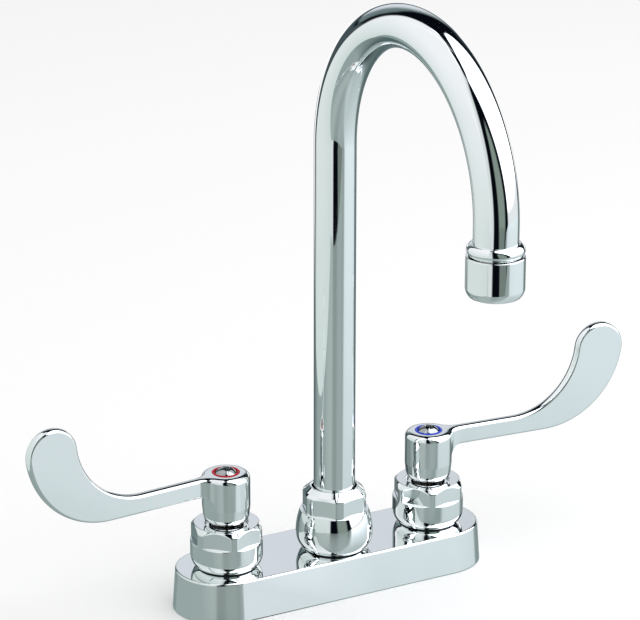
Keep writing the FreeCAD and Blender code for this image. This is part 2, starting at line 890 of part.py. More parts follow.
def make_lever(side, x, turn):
    """Wrist-blade lever: hub, web and blade in one casting, with soft edges and a socket."""
    body = new_body("lever_" + side, x=x, turn=turn)
    low = lever_top - s.neck_depth - s.neck_curve
    reach = s.tip_reach + s.tip_radius + PAST
    top = lever_top + s.tip_rise + s.tip_radius + PAST
    plan = new_sketch(body, "XY_Plane", low)
    draw(plan, plan_corners(reach))
    pad(body, plan, top - low)
    outline = new_sketch(body, "XZ_Plane")
    draw(outline, side_corners())
    draw(outline, box_corners(-s.hub_radius - PAST * 2, reach + PAST, low - PAST, top + PAST))
    trim = feature(body, "Pocket", outline)
    trim.Type = "ThroughAll"
    trim.Midplane = True
    check_cut(body, trim)
    height = lever_top.value

    def is_top_outline(edge):
        box = edge.BoundBox
        across = box.XLength < NEAR
        return box.ZMin > height - NEAR and box.ZMax < height + NEAR and not across

    round_edges(body, is_top_outline, s.lever_edge_round)
    hub = new_sketch(body, "XZ_Plane")
    draw(hub, hub_corners())
    revolve(body, hub)
    bore_lever(body)
    return body


def bore_lever(body):
    """Cuts the flatted socket, the screw's way through and the seat of the index ring."""
    socket = new_sketch(body, "XY_Plane", hub_low)
    radius = s.stem_radius + s.running_gap
    flat = s.stem_flat + s.running_gap
    half = (radius * radius - flat * flat).root()
    draw(
        socket,
        [
            (flat, -half),
            (flat, half, radius, "left"),
            (-flat, half),
            (-flat, -half, radius, "left"),
        ],
    )
    pocket(body, socket, lever_floor - hub_low, upwards=True)
    way = new_sketch(body, "XZ_Plane")
    seat = s.index_ring_radius + s.running_gap
    narrow = s.screw_radius + s.loose_gap
    draw(
        way,
        [
            (0, lever_floor - PAST),
            (narrow, lever_floor - PAST),
            (narrow, ring_seat),
            (seat, ring_seat),
            (seat, lever_top + PAST),
            (0, lever_top + PAST),
        ],
    )
    groove(body, way)


def make_index_ring(side, x):
    """Coloured ring round the screw head."""
    top = lever_top + s.index_ring_proud
    edge = s.index_ring_chamfer
    corners = [
        (ring_bore, ring_seat),
        (s.index_ring_radius, ring_seat),
        (s.index_ring_radius, top - edge),
        (s.index_ring_radius - edge, top),
        (ring_bore + edge, top),
        (ring_bore, top - edge),
    ]
    return turned("index_ring_" + side, corners, x=x)


def make_screw(side, x):
    """Domed screw with a cross recess, which holds the lever on the stem."""
    head = ring_bore - s.screw_head_gap
    edge = ring_seat + s.screw_head_edge
    dome = swelling_radius(s.screw_dome, head)
    crown = edge + s.screw_dome
    corners = [
        (0, ring_seat - s.screw_length),
        (s.screw_radius, ring_seat - s.screw_length),
        (s.screw_radius, ring_seat),
        (head, ring_seat),
        (head, edge, dome, "left"),
        (0, crown),
    ]
    body = turned("handle_screw_" + side, corners, x=x)
    cross = new_sketch(body, "XY_Plane", crown)
    arm, half = s.cross_length, s.cross_width / 2
    draw(
        cross,
        [
            (arm, -half),
            (arm, half),
            (half, half),
            (half, arm),
            (-half, arm),
            (-half, half),
            (-arm, half),
            (-arm, -half),
            (-half, -half),
            (-half, -arm),
            (half, -arm),
            (half, -half),
        ],
    )
    pocket(body, cross, s.cross_depth)
    return body


def make_handle(side, x, turn):
    return [make_lever(side, x, turn), make_index_ring(side, x), make_screw(side, x)]


def make_spout_nut():
    """Barrel-shaped nut with a hexagonal cap, which holds the spout down on its post."""
    low_curve = swelling_radius(s.nut_belly - s.nut_base, s.nut_belly_rise)
    high_curve = swelling_radius(s.nut_belly - s.nut_shoulder, s.nut_ledge - s.nut_belly_rise)
    cap_top = s.plate_height + s.nut_cap_rise
    cone_low = cap_top + s.nut_chamfer
    crown = cone_low + s.nut_cone_height
    bore = s.tube_radius + s.loose_gap
    recess = bore + s.nut_recess
    corners = [
        (post_thread, s.plate_height),
        (s.nut_base, s.plate_height, low_curve, "left"),
        (s.nut_belly, s.plate_height + s.nut_belly_rise, high_curve, "left"),
        (s.nut_shoulder, nut_ledge),
        (s.nut_cap, nut_ledge),
        (s.nut_cap, cap_top),
        (s.nut_cone_base, cone_low),
        (recess + s.nut_cone_rim, crown),
        (recess, crown),
        (bore, crown - s.nut_recess),
        (bore, bushing_top),
        (post_thread, bushing_top),
    ]
    body = turned("spout_nut", corners, y=spout_y, turn=s.nut_turn)
    flatten_to_hexagon(body, s.nut_flats, nut_ledge, crown + PAST)
    return body


def make_gooseneck():
    """Bent tube: up from the foot, over a half circle and down to the outlet."""
    body = new_body("gooseneck_tube", y=spout_y)
    path = new_sketch(body, "YZ_Plane")
    reach = -s.bend_radius * 2
    crest = s.bend_height + s.bend_radius
    spine = [
        (0, foot_flange_top),
        (0, s.bend_height, s.bend_radius, "left"),
        (-s.bend_radius, crest, s.bend_radius, "left"),
        (reach, s.bend_height),
        (reach, tube_end),
    ]
    draw_path(path, spine)
    section = new_sketch(body, "XY_Plane", foot_flange_top)
    draw_circle(section, 0, 0, s.tube_radius)
    draw_circle(section, 0, 0, tube_bore)
    pipe = body.newObject("PartDesign::AdditivePipe", "gooseneck_pipe")
    pipe.Profile = (section, [""])
    pipe.Spine = (path, ["Edge1", "Edge2", "Edge3", "Edge4"])
    return body


def draw_path(sketch, corners):
    """Draws an open path in the way that draw() draws a closed one."""
    points = [FreeCAD.Vector(worth(c[0]), worth(c[1]), 0) for c in corners]
    last = None
    for number, corner in enumerate(corners[:-1]):
        start, finish = points[number], points[number + 1]
        if len(corner) == 2:
            made = sketch.addGeometry(Part.LineSegment(start, finish), False)
        else:
            radius, turn = corner[2:]
            made = sketch.addGeometry(arc_between(start, finish, worth(radius), turn), False)
            limit = sketch.addConstraint(Sketcher.Constraint("Radius", made, worth(radius)))
            bind(sketch, f"Constraints[{limit}]", radius)
        if last is not None:
            sketch.addConstraint(Sketcher.Constraint("Coincident", last, 2, made, 1))
        hold(sketch, made, 1, corner[0], corner[1])
        last = made
    hold(sketch, last, 2, corners[-1][0], corners[-1][1])


def make_spout_foot():
    """Brass foot in the tube's lower end: sleeve, flange and two seal grooves."""
    low = post_top - s.foot_length
    lower_ring = low + s.foot_ring_low
    upper_ring = lower_ring + s.foot_ring_spacing
    corners = [(s.foot_bore, low), (foot_radius, low)]
    for ring_low in (lower_ring, upper_ring):
        ring_top = ring_low + s.foot_ring_groove
        corners += [(foot_radius, ring_low), (foot_groove, ring_low)]
        corners += [(foot_groove, ring_top), (foot_radius, ring_top)]
    corners += [
        (foot_radius, post_top),
        (foot_flange, post_top),
        (foot_flange, foot_flange_top),
        (tube_bore - s.seal_gap, foot_flange_top),
        (tube_bore - s.seal_gap, foot_flange_top + s.foot_sleeve),
        (s.foot_bore, foot_flange_top + s.foot_sleeve),
    ]
    turned_foot = turned("spout_foot_turned", corners, y=spout_y)
    foot = doc.addObject("Part::Cut", "spout_foot")
    foot.Base = turned_foot
    foot.Tool = swing_notch()
    seals = []
    middle = foot_groove + s.foot_ring_section / 2
    for name, ring_low in (("lower", lower_ring), ("upper", upper_ring)):
        height = ring_low + s.foot_ring_groove / 2
        seals.append(seal_ring("spout_seal_" + name, middle, s.foot_ring_section, height, y=spout_y))
    return [foot] + seals


def swing_notch():
    """The part of the foot's flange that is cut away, so that the stop pin limits the swing."""
    half_angle = s.swing_each_way + s.swing_margin
    sector = doc.addObject("Part::Cylinder", "notch_sector")
    bind(sector, "Radius", foot_flange + PAST)
    bind(sector, "Height", s.foot_flange_height + PAST * 2)
    bind(sector, "Angle", half_angle * 2)
    sector.Placement.Rotation = FreeCAD.Rotation(FreeCAD.Vector(0, 0, 1), 0)
    place(sector, 0, spout_y, post_top - PAST, QUARTER - half_angle)
    core_radius = pin_circle - s.stop_pin_radius - s.loose_gap
    core_low = post_top - PAST * 2
    core = ring("notch_core", 0, core_radius, core_low, foot_flange_top + PAST * 2, y=spout_y)
    notch = doc.addObject("Part::Cut", "swing_notch")
    notch.Base = sector
    notch.Tool = core
    return notch


def make_swivel():
    """Plastic bushing over the foot's flange, and the pin that stops the swing."""
    bushing = ring(
        "swivel_bushing",
        s.tube_radius + s.running_gap,
        post_thread - s.loose_gap,
        foot_flange_top,
        bushing_top,
        y=spout_y,
    )
    pin = ring(
        "swing_stop_pin",
        0,
        s.stop_pin_radius,
        post_top - s.stop_pin_depth,
        foot_flange_top - s.loose_gap,
        y=spout_y + pin_circle,
    )
    return [bushing, pin]


def make_outlet():
    """What closes the tube's end: beaded fitting, shell, washer, insert and screen."""
    y = spout_y - s.bend_radius * 2
    belly = bead_low + s.bead_belly
    bead_top = bead_low + s.bead_rise
    bead_radius = outlet_thread + s.bead_overhang
    neck = bead_radius - s.outlet_groove_depth
    crown = outlet_socket + s.bead_crown_wall
    under_height = s.bead_belly - s.shell_top_round
    under = swelling_radius(s.outlet_groove_depth, under_height)
    over = swelling_radius(bead_radius - crown, s.bead_rise - s.bead_belly)
    fitting = turned(
        "outlet_fitting",
        [
            (s.outlet_bore, thread_low),
            (outlet_thread, thread_low),
            (outlet_thread, bead_low),
            (neck, bead_low),
            (neck, belly - under_height, under, "left"),
            (bead_radius, belly, over, "left"),
            (crown, bead_top),
            (outlet_socket, bead_top),
            (outlet_socket, tube_end),
            (s.outlet_bore, tube_end),
        ],
        y=y,
    )
    foot = shell_radius - s.shell_foot_inset
    foot_curve = swelling_radius(s.shell_foot_inset, s.shell_curve)
    shell = turned(
        "aerator_shell",
        [
            (s.shell_mouth, shell_low),
            (foot, shell_low, foot_curve, "left"),
            (shell_radius, shell_low + s.shell_curve),
            (shell_radius, shell_top - s.shell_top_round, s.shell_top_round, "left"),
            (shell_radius - s.shell_top_round, shell_top),
            (shell_thread, shell_top),
            (shell_thread, insert_top),
            (shell_inner, insert_top),
            (shell_inner, shell_low + s.shell_lip),
            (s.shell_mouth, shell_low + s.shell_lip),
        ],
        y=y,
    )
    washer_edge = shell_thread - s.seal_gap
    washer = ring("aerator_washer", s.outlet_washer_bore, washer_edge, insert_top, thread_low, y=y)
    insert = jet_disc("aerator_insert", insert_low, insert_top, y)
    screen = jet_disc("aerator_screen", insert_low - s.screen_height, insert_low, y)
    return [fitting, shell, washer, insert, screen]


def jet_disc(label, low, high, y):
    """A round disc in the shell with two rings of water jets."""
    body = ring(label, 0, shell_inner - s.running_gap, low, high, y=y)
    for circle, count in ((s.jet_circle, s.jet_count), (s.inner_jet_circle, s.inner_jet_count)):
        sketch = new_sketch(body, "XY_Plane", low)
        draw_circle(sketch, circle, 0, s.jet_radius)
        jet = pocket(body, sketch, high - low, upwards=True)
        polar_pattern(body, jet, count)
    return body


def check(piece):
    """Stops at an object that failed to build, or a shape that isn't sound."""
    bad = [o.Label for o in doc.Objects if {"Invalid", "Error"} & set(o.State)]
    if bad:
        raise ValueError("failed to build: " + ", ".join(bad))
    shape = piece.Shape
    if shape.isNull() or not shape.isValid() or len(shape.Solids) != 1:
        raise ValueError(f"{piece.Label} is not one sound solid")


PIECES = [make_deck_plate(), make_deck_gasket(), make_waterway_body(), make_spout_nut(), make_gooseneck()]
PIECES += make_spout_foot() + make_swivel() + make_outlet()
for side, x, lever_turn, bonnet_turn in (
    ("hot", hot_x, s.lever_forward + HALF, s.bonnet_turn_hot),
    ("cold", cold_x, -s.lever_forward, s.bonnet_turn_cold),
):
    PIECES += make_mounting(side, x)
    PIECES += make_cartridge(side, x, lever_turn)
    PIECES += make_bonnet(side, x, bonnet_turn)
    PIECES += make_handle(side, x, lever_turn)

doc.recompute()
for piece in PIECES:
    check(piece)
os.makedirs("parts", exist_ok=True)
for piece in PIECES:
    piece.Shape.exportStep(os.path.join("parts", piece.Label + ".step"))
print(len(PIECES), "pieces written")
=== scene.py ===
import json
import math

import bmesh
import bpy
import numpy as np
from mathutils import Matrix, Vector


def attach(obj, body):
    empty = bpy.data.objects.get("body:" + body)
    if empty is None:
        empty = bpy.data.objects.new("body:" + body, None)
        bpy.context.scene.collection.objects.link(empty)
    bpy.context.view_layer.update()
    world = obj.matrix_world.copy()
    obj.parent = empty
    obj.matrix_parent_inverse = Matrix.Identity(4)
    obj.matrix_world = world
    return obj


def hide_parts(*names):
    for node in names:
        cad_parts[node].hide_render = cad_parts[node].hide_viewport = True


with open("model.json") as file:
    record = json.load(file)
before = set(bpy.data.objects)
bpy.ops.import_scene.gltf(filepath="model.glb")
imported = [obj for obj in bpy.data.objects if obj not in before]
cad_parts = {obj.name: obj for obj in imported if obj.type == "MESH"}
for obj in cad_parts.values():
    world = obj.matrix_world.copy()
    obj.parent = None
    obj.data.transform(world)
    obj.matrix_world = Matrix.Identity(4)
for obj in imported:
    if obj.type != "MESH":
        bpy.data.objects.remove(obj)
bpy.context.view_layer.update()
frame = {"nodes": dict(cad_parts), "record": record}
nodes = frame["nodes"]

# The photograph's camera, solved from the plate, nuts, levers and tube
PHOTO_WIDTH = 640
FOCAL_PIXELS = 3146.4
SENSOR = 36.0
CAMERA_PLACE = (-0.62086, -1.11821, 0.58392)
CAMERA_YAW = 28.862
CAMERA_PITCH = 19.646
CAMERA_ROLL = 0.070


def make_camera():
    data = bpy.data.cameras.new("photo_camera")
    data.sensor_width = SENSOR
    data.lens = FOCAL_PIXELS * SENSOR / PHOTO_WIDTH
    camera = bpy.data.objects.new("photo_camera", data)
    bpy.context.scene.collection.objects.link(camera)
    yaw, pitch, roll = (math.radians(a) for a in (CAMERA_YAW, CAMERA_PITCH, CAMERA_ROLL))
    flat = math.cos(pitch)
    look = Vector((math.sin(yaw) * flat, math.cos(yaw) * flat, -math.sin(pitch)))
    right = Vector((math.cos(yaw), -math.sin(yaw), 0))
    up = right.cross(look)
    turned_right = right * math.cos(roll) + up * math.sin(roll)
    turned_up = up * math.cos(roll) - right * math.sin(roll)
    axes = Matrix((turned_right, turned_up, -look)).transposed()
    camera.matrix_world = Matrix.Translation(CAMERA_PLACE) @ axes.to_4x4()
    bpy.context.scene.camera = camera


def linear(*rgb):
    """A linear colour from its 0 to 255 display values."""
    out = []
    for value in rgb:
        v = value / 255
        out.append(v / 12.92 if v <= 0.04045 else ((v + 0.055) / 1.055) ** 2.4)
    return out


def new_mesh(name, points, faces, smooth=True):
    mesh = bpy.data.meshes.new(name)
    mesh.from_pydata([tuple(p) for p in points], [], faces)
    mesh.polygons.foreach_set("use_smooth", [smooth] * len(mesh.polygons))
    mesh.update()
    obj = bpy.data.objects.new(name, mesh)
    bpy.context.scene.collection.objects.link(obj)
    return obj


def grid_faces(rows, across, around=True, over=True, start=0):
    """Quads between rows of points.

    around closes each row, and over joins the last row to the first."""
    faces = []
    for row in range(rows if over else rows - 1):
        up = (row + 1) % rows
        for k in range(across if around else across - 1):
            n = (k + 1) % across
            low, high = start + row * across, start + up * across
            faces.append((low + k, low + n, high + n, high + k))
    return faces


# The studio, as the chrome sees it: a table, a white panel on its left, a big soft light over its
# right, and dark gaps between them. Angles are in degrees, clockwise from +Y and up from the
# horizon, lengths are in metres, and the colours are display values.
CHROME = (0.90, 0.92, 0.92)
SOFT_LIGHT = (2.10, 2.25, 2.40)
PANEL_TOP = (238, 242, 245)
PANEL_EDGE = (210, 219, 219)
PANEL_FOOT = (202, 216, 213)
LIGHT_FOOT = (226, 232, 234)
GAP = (6, 9, 16)
DIM = (66, 80, 84)
ROOM_FLOOR = (140, 158, 156)
GLOW_EDGE = (104, 121, 123)
GLOW = (208, 215, 222)
GLOW_SHADE = (46, 55, 60)
WHITE_FOOT = (250, 252, 253)
ARCH_INSIDE = (126, 142, 134)
ARCH_FOOT = (112, 124, 119)

# The dome that carries the shapes: its centre, and its distance in general, overhead and behind
# the object. It draws near from OVERHEAD_FROM up to OVERHEAD_WHOLE. It is far within FAR_WHOLE
# of the azimuth FAR_FACING and below FAR_BELOW, and no longer so at FAR_END and FAR_NONE.
STUDIO_CENTRE = (0.0, -0.07, 0.277)
STUDIO_NEAR = 1.5
STUDIO_OVERHEAD = 0.6
STUDIO_FAR = 5.0
OVERHEAD_FROM, OVERHEAD_WHOLE = 20, 60
FAR_FACING, FAR_WHOLE, FAR_END = 2, 26, 46
FAR_BELOW, FAR_NONE = 42, 62
DOME_ACROSS, DOME_ROWS = 240, 120
DOME_START, DOME_POLE = -30, 89.5

# Each shape on the dome: its outline as (azimuth, elevation), its colour and the width of its
# soft edge. A later shape lies over the ones before it.
STUDIO_SHAPES = [
    # the room's floor past the table
    ([(-31, -90), (-31, -20), (330, -20), (330, -90)], ROOM_FLOOR, 1.0),
    # the soft light's foot
    ([(78, -22), (160, -22), (157, -8), (84, -6)], LIGHT_FOOT, 5.0),
    # left of the table, where the panel stands
    ([(218, -20), (218, 45), (229, 72), (331, 78), (331, -20)], PANEL_TOP, 5.0),
    ([(-31, -20), (-31, 78), (-8, 70), (-12, 56), (-18, 27), (-20, -20)], PANEL_TOP, 2.0),
    ([(216, -45), (216, 45), (227, 70), (240, 70), (238, 40), (238, -45)], PANEL_EDGE, 8.0),
    # dark ceiling gap over the left panel
    ([(200, 91), (202, 80), (206, 72), (214, 68), (224, 67), (236, 71), (248, 74), (270, 77),
      (331, 78), (331, 91)], GAP, 5.0),
    ([(-31, 78), (-20, 76), (-8, 70), (0, 64), (0, 91), (-31, 91)], GAP, 3.0),
    # dark surround of the backdrop
    ([(-28, -20), (-23, -6), (-21, 5), (-19, 25), (-15, 45), (-11, 58), (-4, 68), (-4, 91),
      (38, 91), (36, 72), (37, 64), (41, 60), (47, 55), (53, 51), (59, 46), (64, 41), (68, 35),
      (72, 28), (76, 20), (79, 10), (81, 0), (81, -20)], GAP, 3.0),
    # backdrop: a glow, brightest near its middle, over a dark strip and a white foot
    ([(-14, 0), (-13, 9), (-12, 19), (-7, 28), (5, 34), (18, 36), (31, 33), (39, 27), (45, 19),
      (49, 9), (47, 0)], GLOW_EDGE, 7.0),
    ([(4, 3), (3, 12), (7, 20), (13, 26), (23, 29), (33, 26), (40, 17), (40, 8), (30, 3),
      (12, 3)], GLOW, 14.0),
    ([(45, 0), (47, 11), (51, 21), (57, 25), (62, 19), (67, 7), (66, -1)], GLOW_SHADE, 8.0),
    ([(-22, -20), (-21, -1), (-12, 0), (2, 3), (16, 5), (14, 1), (0, -4), (-8, -12),
      (-14, -20)], DIM, 2.0),
    ([(14, -1), (16, 7), (24, 9), (34, 9), (46, 8), (46, -1)], DIM, 4.0),
    ([(-14, -1), (-13, 1.5), (0, 4), (15, 6.5), (16, 5), (0, 2), (-12, -1)], GAP, 1.5),
    ([(-14, -20), (-6, -11), (2, -6), (8, -2), (14, -1), (24, 0), (36, -1), (42, -1), (48, 5),
      (54, 2), (62, -1), (66, -5), (68, -20)], WHITE_FOOT, 3.0),
    # the room in front: a dark arch, with a lighter space in it
    ([(155, -45), (152, -20), (156, -3), (160, 9), (164, 20), (169, 31), (175, 41), (182, 50),
      (190, 57), (198, 62), (205, 66), (212, 69), (219, 71), (225, 66), (227, 55), (225, 40),
      (223, 20), (222, -20), (222, -45)], GAP, 5.0),
    ([(168, -19), (170, 0), (174, 12), (180, 25), (186, 35), (193, 41), (199, 43), (203, 38),
      (203, 20), (200, 0), (197, -19)], ARCH_INSIDE, 6.0),
    ([(171, -45), (171, -17), (195, -17), (195, -45)], ARCH_FOOT, 3.0),
]

# The left panel: the way it faces, how far off it is, its two ends and its height. It brightens
# upwards by this power, and its front end has this share of the brightness.
PANEL_FACING = -66.0
PANEL_PLACE = 0.24
PANEL_FRONT, PANEL_BACK = -0.51, 0.19
PANEL_HEIGHT = 0.45
PANEL_POWER = 0.7
PANEL_FRONT_SHARE = 0.7
PANEL_PARTS = 24

# The table: it ends at the panel, at the dark room in front, or at its own far edge. It glows with
# painted light and shade: lighter under the soft light on its right and in front, and darker
# behind the object. Each other tone has a colour, the azimuth at its middle, how far it spreads,
# and the part of the way out at which it starts and is whole.
TABLE = (141, 158, 156)
TABLE_LIGHT_AND_SHADE = [
    ((80, 101, 102), 20, 72, 0.0, 0.25),
    ((38, 50, 55), 8, 66, 0.19, 0.08),
    ((168, 182, 181), 178, 27, 0.0, 0.1),
    ((161, 175, 173), 226, 32, 0.0, 0.13),
    ((172, 188, 188), 122, 44, 0.0, 0.35),
]
TABLE_FRONT = 0.495
TABLE_FRONT_FACING = 215.0
TABLE_FAR = 0.97
TABLE_LIFT = 0.0004
TABLE_PARTS = 180
TABLE_STEPS = (0.05, 0.1, 0.15, 0.2, 0.3, 0.5, 0.75, 1.0)
TABLE_ROUGHNESS = 0.24
TABLE_IOR = 2.0

FLOOR_HALF = 6.0
FLOOR_WHITE = (0.96, 0.96, 0.96, 1)
FLOOR_ROUGHNESS = 0.9
WHITE = (1, 1, 1, 1)
WORLD_LIGHT = 0.84
LAMP_PLACE = (0.5, -0.5, 1.6)
LAMP_TARGET = (0, -0.05, 0.1)
LAMP_SIZE = 1.6
LAMP_POWER = 9.0


def outline_distance(points, azimuth, elevation):
    """Signed distance in degrees to a closed outline, above zero inside."""
    corners = np.array(points, float)
    inside = np.zeros(azimuth.shape, bool)
    nearest = np.full(azimuth.shape, np.inf)
    shrink = np.cos(np.radians(elevation)).clip(0.2, 1)
    for (x0, y0), (x1, y1) in zip(corners, np.roll(corners, -1, axis=0)):
        dx, dy = x1 - x0, y1 - y0
        t = ((azimuth - x0) * dx + (elevation - y0) * dy) / (dx * dx + dy * dy)
        t = t.clip(0, 1)
        away = np.hypot((azimuth - x0 - t * dx) * shrink, elevation - y0 - t * dy)
        nearest = np.minimum(nearest, away)
        crosses = (y0 > elevation) != (y1 > elevation)
        where = x0 + (elevation - y0) * dx / (dy if dy else 1)
        inside ^= crosses & (azimuth < where)
    return np.where(inside, nearest, -nearest)


def smooth_step(value, low, high):
    t = np.clip((value - low) / (high - low), 0, 1)
    return t * t * (3 - 2 * t)


def link(tree, start, end):
    tree.links.new(start, end)


def only_reflected(obj):
    obj.visible_camera = False
    obj.visible_diffuse = False
    obj.visible_shadow = False
    obj.visible_volume_scatter = False


def glowing_card(obj, name, colours):
    """Gives a stage card a light of its own at each point, and returns its nodes and the light."""
    layer = obj.data.color_attributes.new("light", "FLOAT_COLOR", "POINT")
    layer.data.foreach_set("color", np.column_stack((colours, np.ones(len(colours)))).ravel())
    material = bpy.data.materials.new(name)
    material.use_nodes = True
    material.cycles.emission_sampling = "NONE"
    tree = material.node_tree
    tree.nodes.clear()
    glow = tree.nodes.new("ShaderNodeEmission")
    light = tree.nodes.new("ShaderNodeAttribute")
    light.attribute_name = "light"
    link(tree, light.outputs["Color"], glow.inputs["Color"])
    obj.data.materials.append(material)
    only_reflected(obj)
    return tree, glow.outputs["Emission"]


def paint(obj, colours):
    """Lights the points of a stage card so that the chrome shows these colours."""
    tree, light = glowing_card(obj, obj.name + "_light", colours / np.array(CHROME))
    link(tree, light, tree.nodes.new("ShaderNodeOutputMaterial").inputs["Surface"])


def make_dome():
    """A shell round the object, far off behind it and nearest overhead."""
    azimuth, elevation = np.meshgrid(
        np.linspace(DOME_START, DOME_START + 360, DOME_ACROSS, endpoint=False),
        np.linspace(-DOME_POLE, DOME_POLE, DOME_ROWS),
    )
    a, e = np.radians(azimuth), np.radians(elevation)
    behind = smooth_step(np.cos(a - math.radians(FAR_FACING)), math.cos(math.radians(FAR_END)),
                         math.cos(math.radians(FAR_WHOLE)))
    behind = behind * smooth_step(-elevation, -FAR_NONE, -FAR_BELOW)
    overhead = smooth_step(elevation, OVERHEAD_FROM, OVERHEAD_WHOLE)
    reach = STUDIO_NEAR + (STUDIO_OVERHEAD - STUDIO_NEAR) * overhead
    reach = (reach + (STUDIO_FAR - reach) * behind)[..., None]
    points = np.stack((np.sin(a) * np.cos(e), np.cos(a) * np.cos(e), np.sin(e)), -1) * reach
    points = points.reshape(-1, 3) + np.array(STUDIO_CENTRE)
    dome = new_mesh("studio_dome", points, grid_faces(DOME_ROWS, DOME_ACROSS, over=False))
    colours = np.full(azimuth.shape + (3,), SOFT_LIGHT)
    for outline, colour, soft in STUDIO_SHAPES:
        share = smooth_step(outline_distance(outline, azimuth, elevation), -soft / 2, soft / 2)
        share = share[..., None]
        colours = colours * (1 - share) + np.array(linear(*colour)) * share
    paint(dome, colours.reshape(-1, 3))


def make_left_panel():
    a = math.radians(PANEL_FACING)
    out = np.array((math.sin(a), math.cos(a), 0))
    along = np.array((out[1], -out[0], 0))
    side, height = np.meshgrid(np.linspace(PANEL_FRONT, PANEL_BACK, PANEL_PARTS),
                               np.linspace(0, PANEL_HEIGHT, PANEL_PARTS))
    side, height = side.ravel()[:, None], height.ravel()[:, None]
    points = out * PANEL_PLACE + along * side + np.array((0, 0, 1)) * height
    faces = grid_faces(PANEL_PARTS, PANEL_PARTS, around=False, over=False)
    panel = new_mesh("left_panel", points, faces)
    upwards = smooth_step(height, 0.0, PANEL_HEIGHT) ** PANEL_POWER
    backwards = smooth_step(side, PANEL_FRONT, 0.0)
    share = upwards * (PANEL_FRONT_SHARE + (1 - PANEL_FRONT_SHARE) * backwards)
    foot, top = np.array(linear(*PANEL_FOOT)), np.array(linear(*PANEL_TOP))
    paint(panel, foot * (1 - share) + top * share)


def table_reach(a):
    """How far out the table goes at an azimuth in radians."""
    reach = TABLE_FAR
    for place, facing in ((PANEL_PLACE, PANEL_FACING), (TABLE_FRONT, TABLE_FRONT_FACING)):
        toward = math.cos(a - math.radians(facing))
        if toward > 0:
            reach = min(reach, place / toward)
    return reach


def table_glow(a, share):
    """The table's painted light and shade at an azimuth in radians and a share of the way out."""
    colour = np.array(linear(*TABLE))
    for tone, facing, spread, start, whole in TABLE_LIGHT_AND_SHADE:
        turned = math.cos(a - math.radians(facing))
        near = math.sqrt(smooth_step(turned, math.cos(math.radians(spread)), 1))
        near *= float(np.clip((share - start) / (whole - start), 0, 1))
        colour = colour * (1 - near) + np.array(linear(*tone)) * near
    return colour


def make_table():
    """The grey, slightly glossy table that the chrome shows round the object, glowing with painted
    light and shade.
    """
    points, colours = [(0, 0, TABLE_LIFT)], [linear(*TABLE)]
    for share in TABLE_STEPS:
        for k in range(TABLE_PARTS):
            a = 2 * math.pi * k / TABLE_PARTS
            reach = table_reach(a) * share
            points.append((reach * math.sin(a), reach * math.cos(a), TABLE_LIFT))
            # the glow at each point is painted light and shade
            colours.append(table_glow(a, share))
    faces = [(0, (k + 1) % TABLE_PARTS + 1, k + 1) for k in range(TABLE_PARTS)]
    faces += grid_faces(len(TABLE_STEPS), TABLE_PARTS, over=False, start=1)
    table = new_mesh("table_card", points, faces, smooth=False)
    tree, light = glowing_card(table, "table_card_gloss", colours)
    gloss = tree.nodes.new("ShaderNodeBsdfGlossy")
    gloss.inputs["Roughness"].default_value = TABLE_ROUGHNESS
    mirror = tree.nodes.new("ShaderNodeFresnel")
    mirror.inputs["IOR"].default_value = TABLE_IOR
    mix = tree.nodes.new("ShaderNodeMixShader")
    for start, end in zip((mirror.outputs[0], light, gloss.outputs[0]), mix.inputs):
        link(tree, start, end)
    link(tree, mix.outputs[0], tree.nodes.new("ShaderNodeOutputMaterial").inputs["Surface"])


def make_floor():
    half = FLOOR_HALF
    corners = [(-half, -half, 0), (half, -half, 0), (half, half, 0), (-half, half, 0)]
    floor = new_mesh("floor", corners, [(0, 1, 2, 3)], smooth=False)
    material = bpy.data.materials.new("floor_white")
    material.use_nodes = True
    shader = material.node_tree.nodes["Principled BSDF"]
    shader.inputs["Base Color"].default_value = FLOOR_WHITE
    shader.inputs["Roughness"].default_value = FLOOR_ROUGHNESS
    shader.inputs["Specular IOR Level"].default_value = 0.0
    floor.data.materials.append(material)
    floor.visible_glossy = False


def background(tree, strength):
    node = tree.nodes.new("ShaderNodeBackground")
    node.inputs["Color"].default_value = WHITE
    node.inputs["Strength"].default_value = strength
    return node.outputs[0]


def greatest(tree, *values):
    """The greatest of several values."""
    most = values[0]
    for value in values[1:]:
        either = tree.nodes.new("ShaderNodeMath")
        either.operation = "MAXIMUM"
        link(tree, most, either.inputs[0])
        link(tree, value, either.inputs[1])
        most = either.outputs[0]
    return most


def make_world():
    """White behind the object, for the camera and for reflections, and a plain soft light on it."""
    world = bpy.data.worlds.new("studio")
    bpy.context.scene.world = world
    world.use_nodes = True
    tree = world.node_tree
    tree.nodes.clear()
    path = tree.nodes.new("ShaderNodeLightPath")
    rays = ("Is Camera Ray", "Is Glossy Ray", "Is Transmission Ray")
    seen = greatest(tree, *(path.outputs[name] for name in rays))
    mix = tree.nodes.new("ShaderNodeMixShader")
    for start, end in zip((seen, background(tree, WORLD_LIGHT), background(tree, 1.0)), mix.inputs):
        link(tree, start, end)
    link(tree, mix.outputs[0], tree.nodes.new("ShaderNodeOutputWorld").inputs["Surface"])


def make_lamp():
    data = bpy.data.lights.new("soft_overhead", "AREA")
    data.shape = "DISK"
    data.size = LAMP_SIZE
    data.energy = LAMP_POWER
    lamp = bpy.data.objects.new("soft_overhead", data)
    bpy.context.scene.collection.objects.link(lamp)
    lamp.location = LAMP_PLACE
    way = Vector(LAMP_TARGET) - Vector(LAMP_PLACE)
    lamp.rotation_euler = way.to_track_quat("-Z", "Y").to_euler()
    lamp.visible_glossy = False


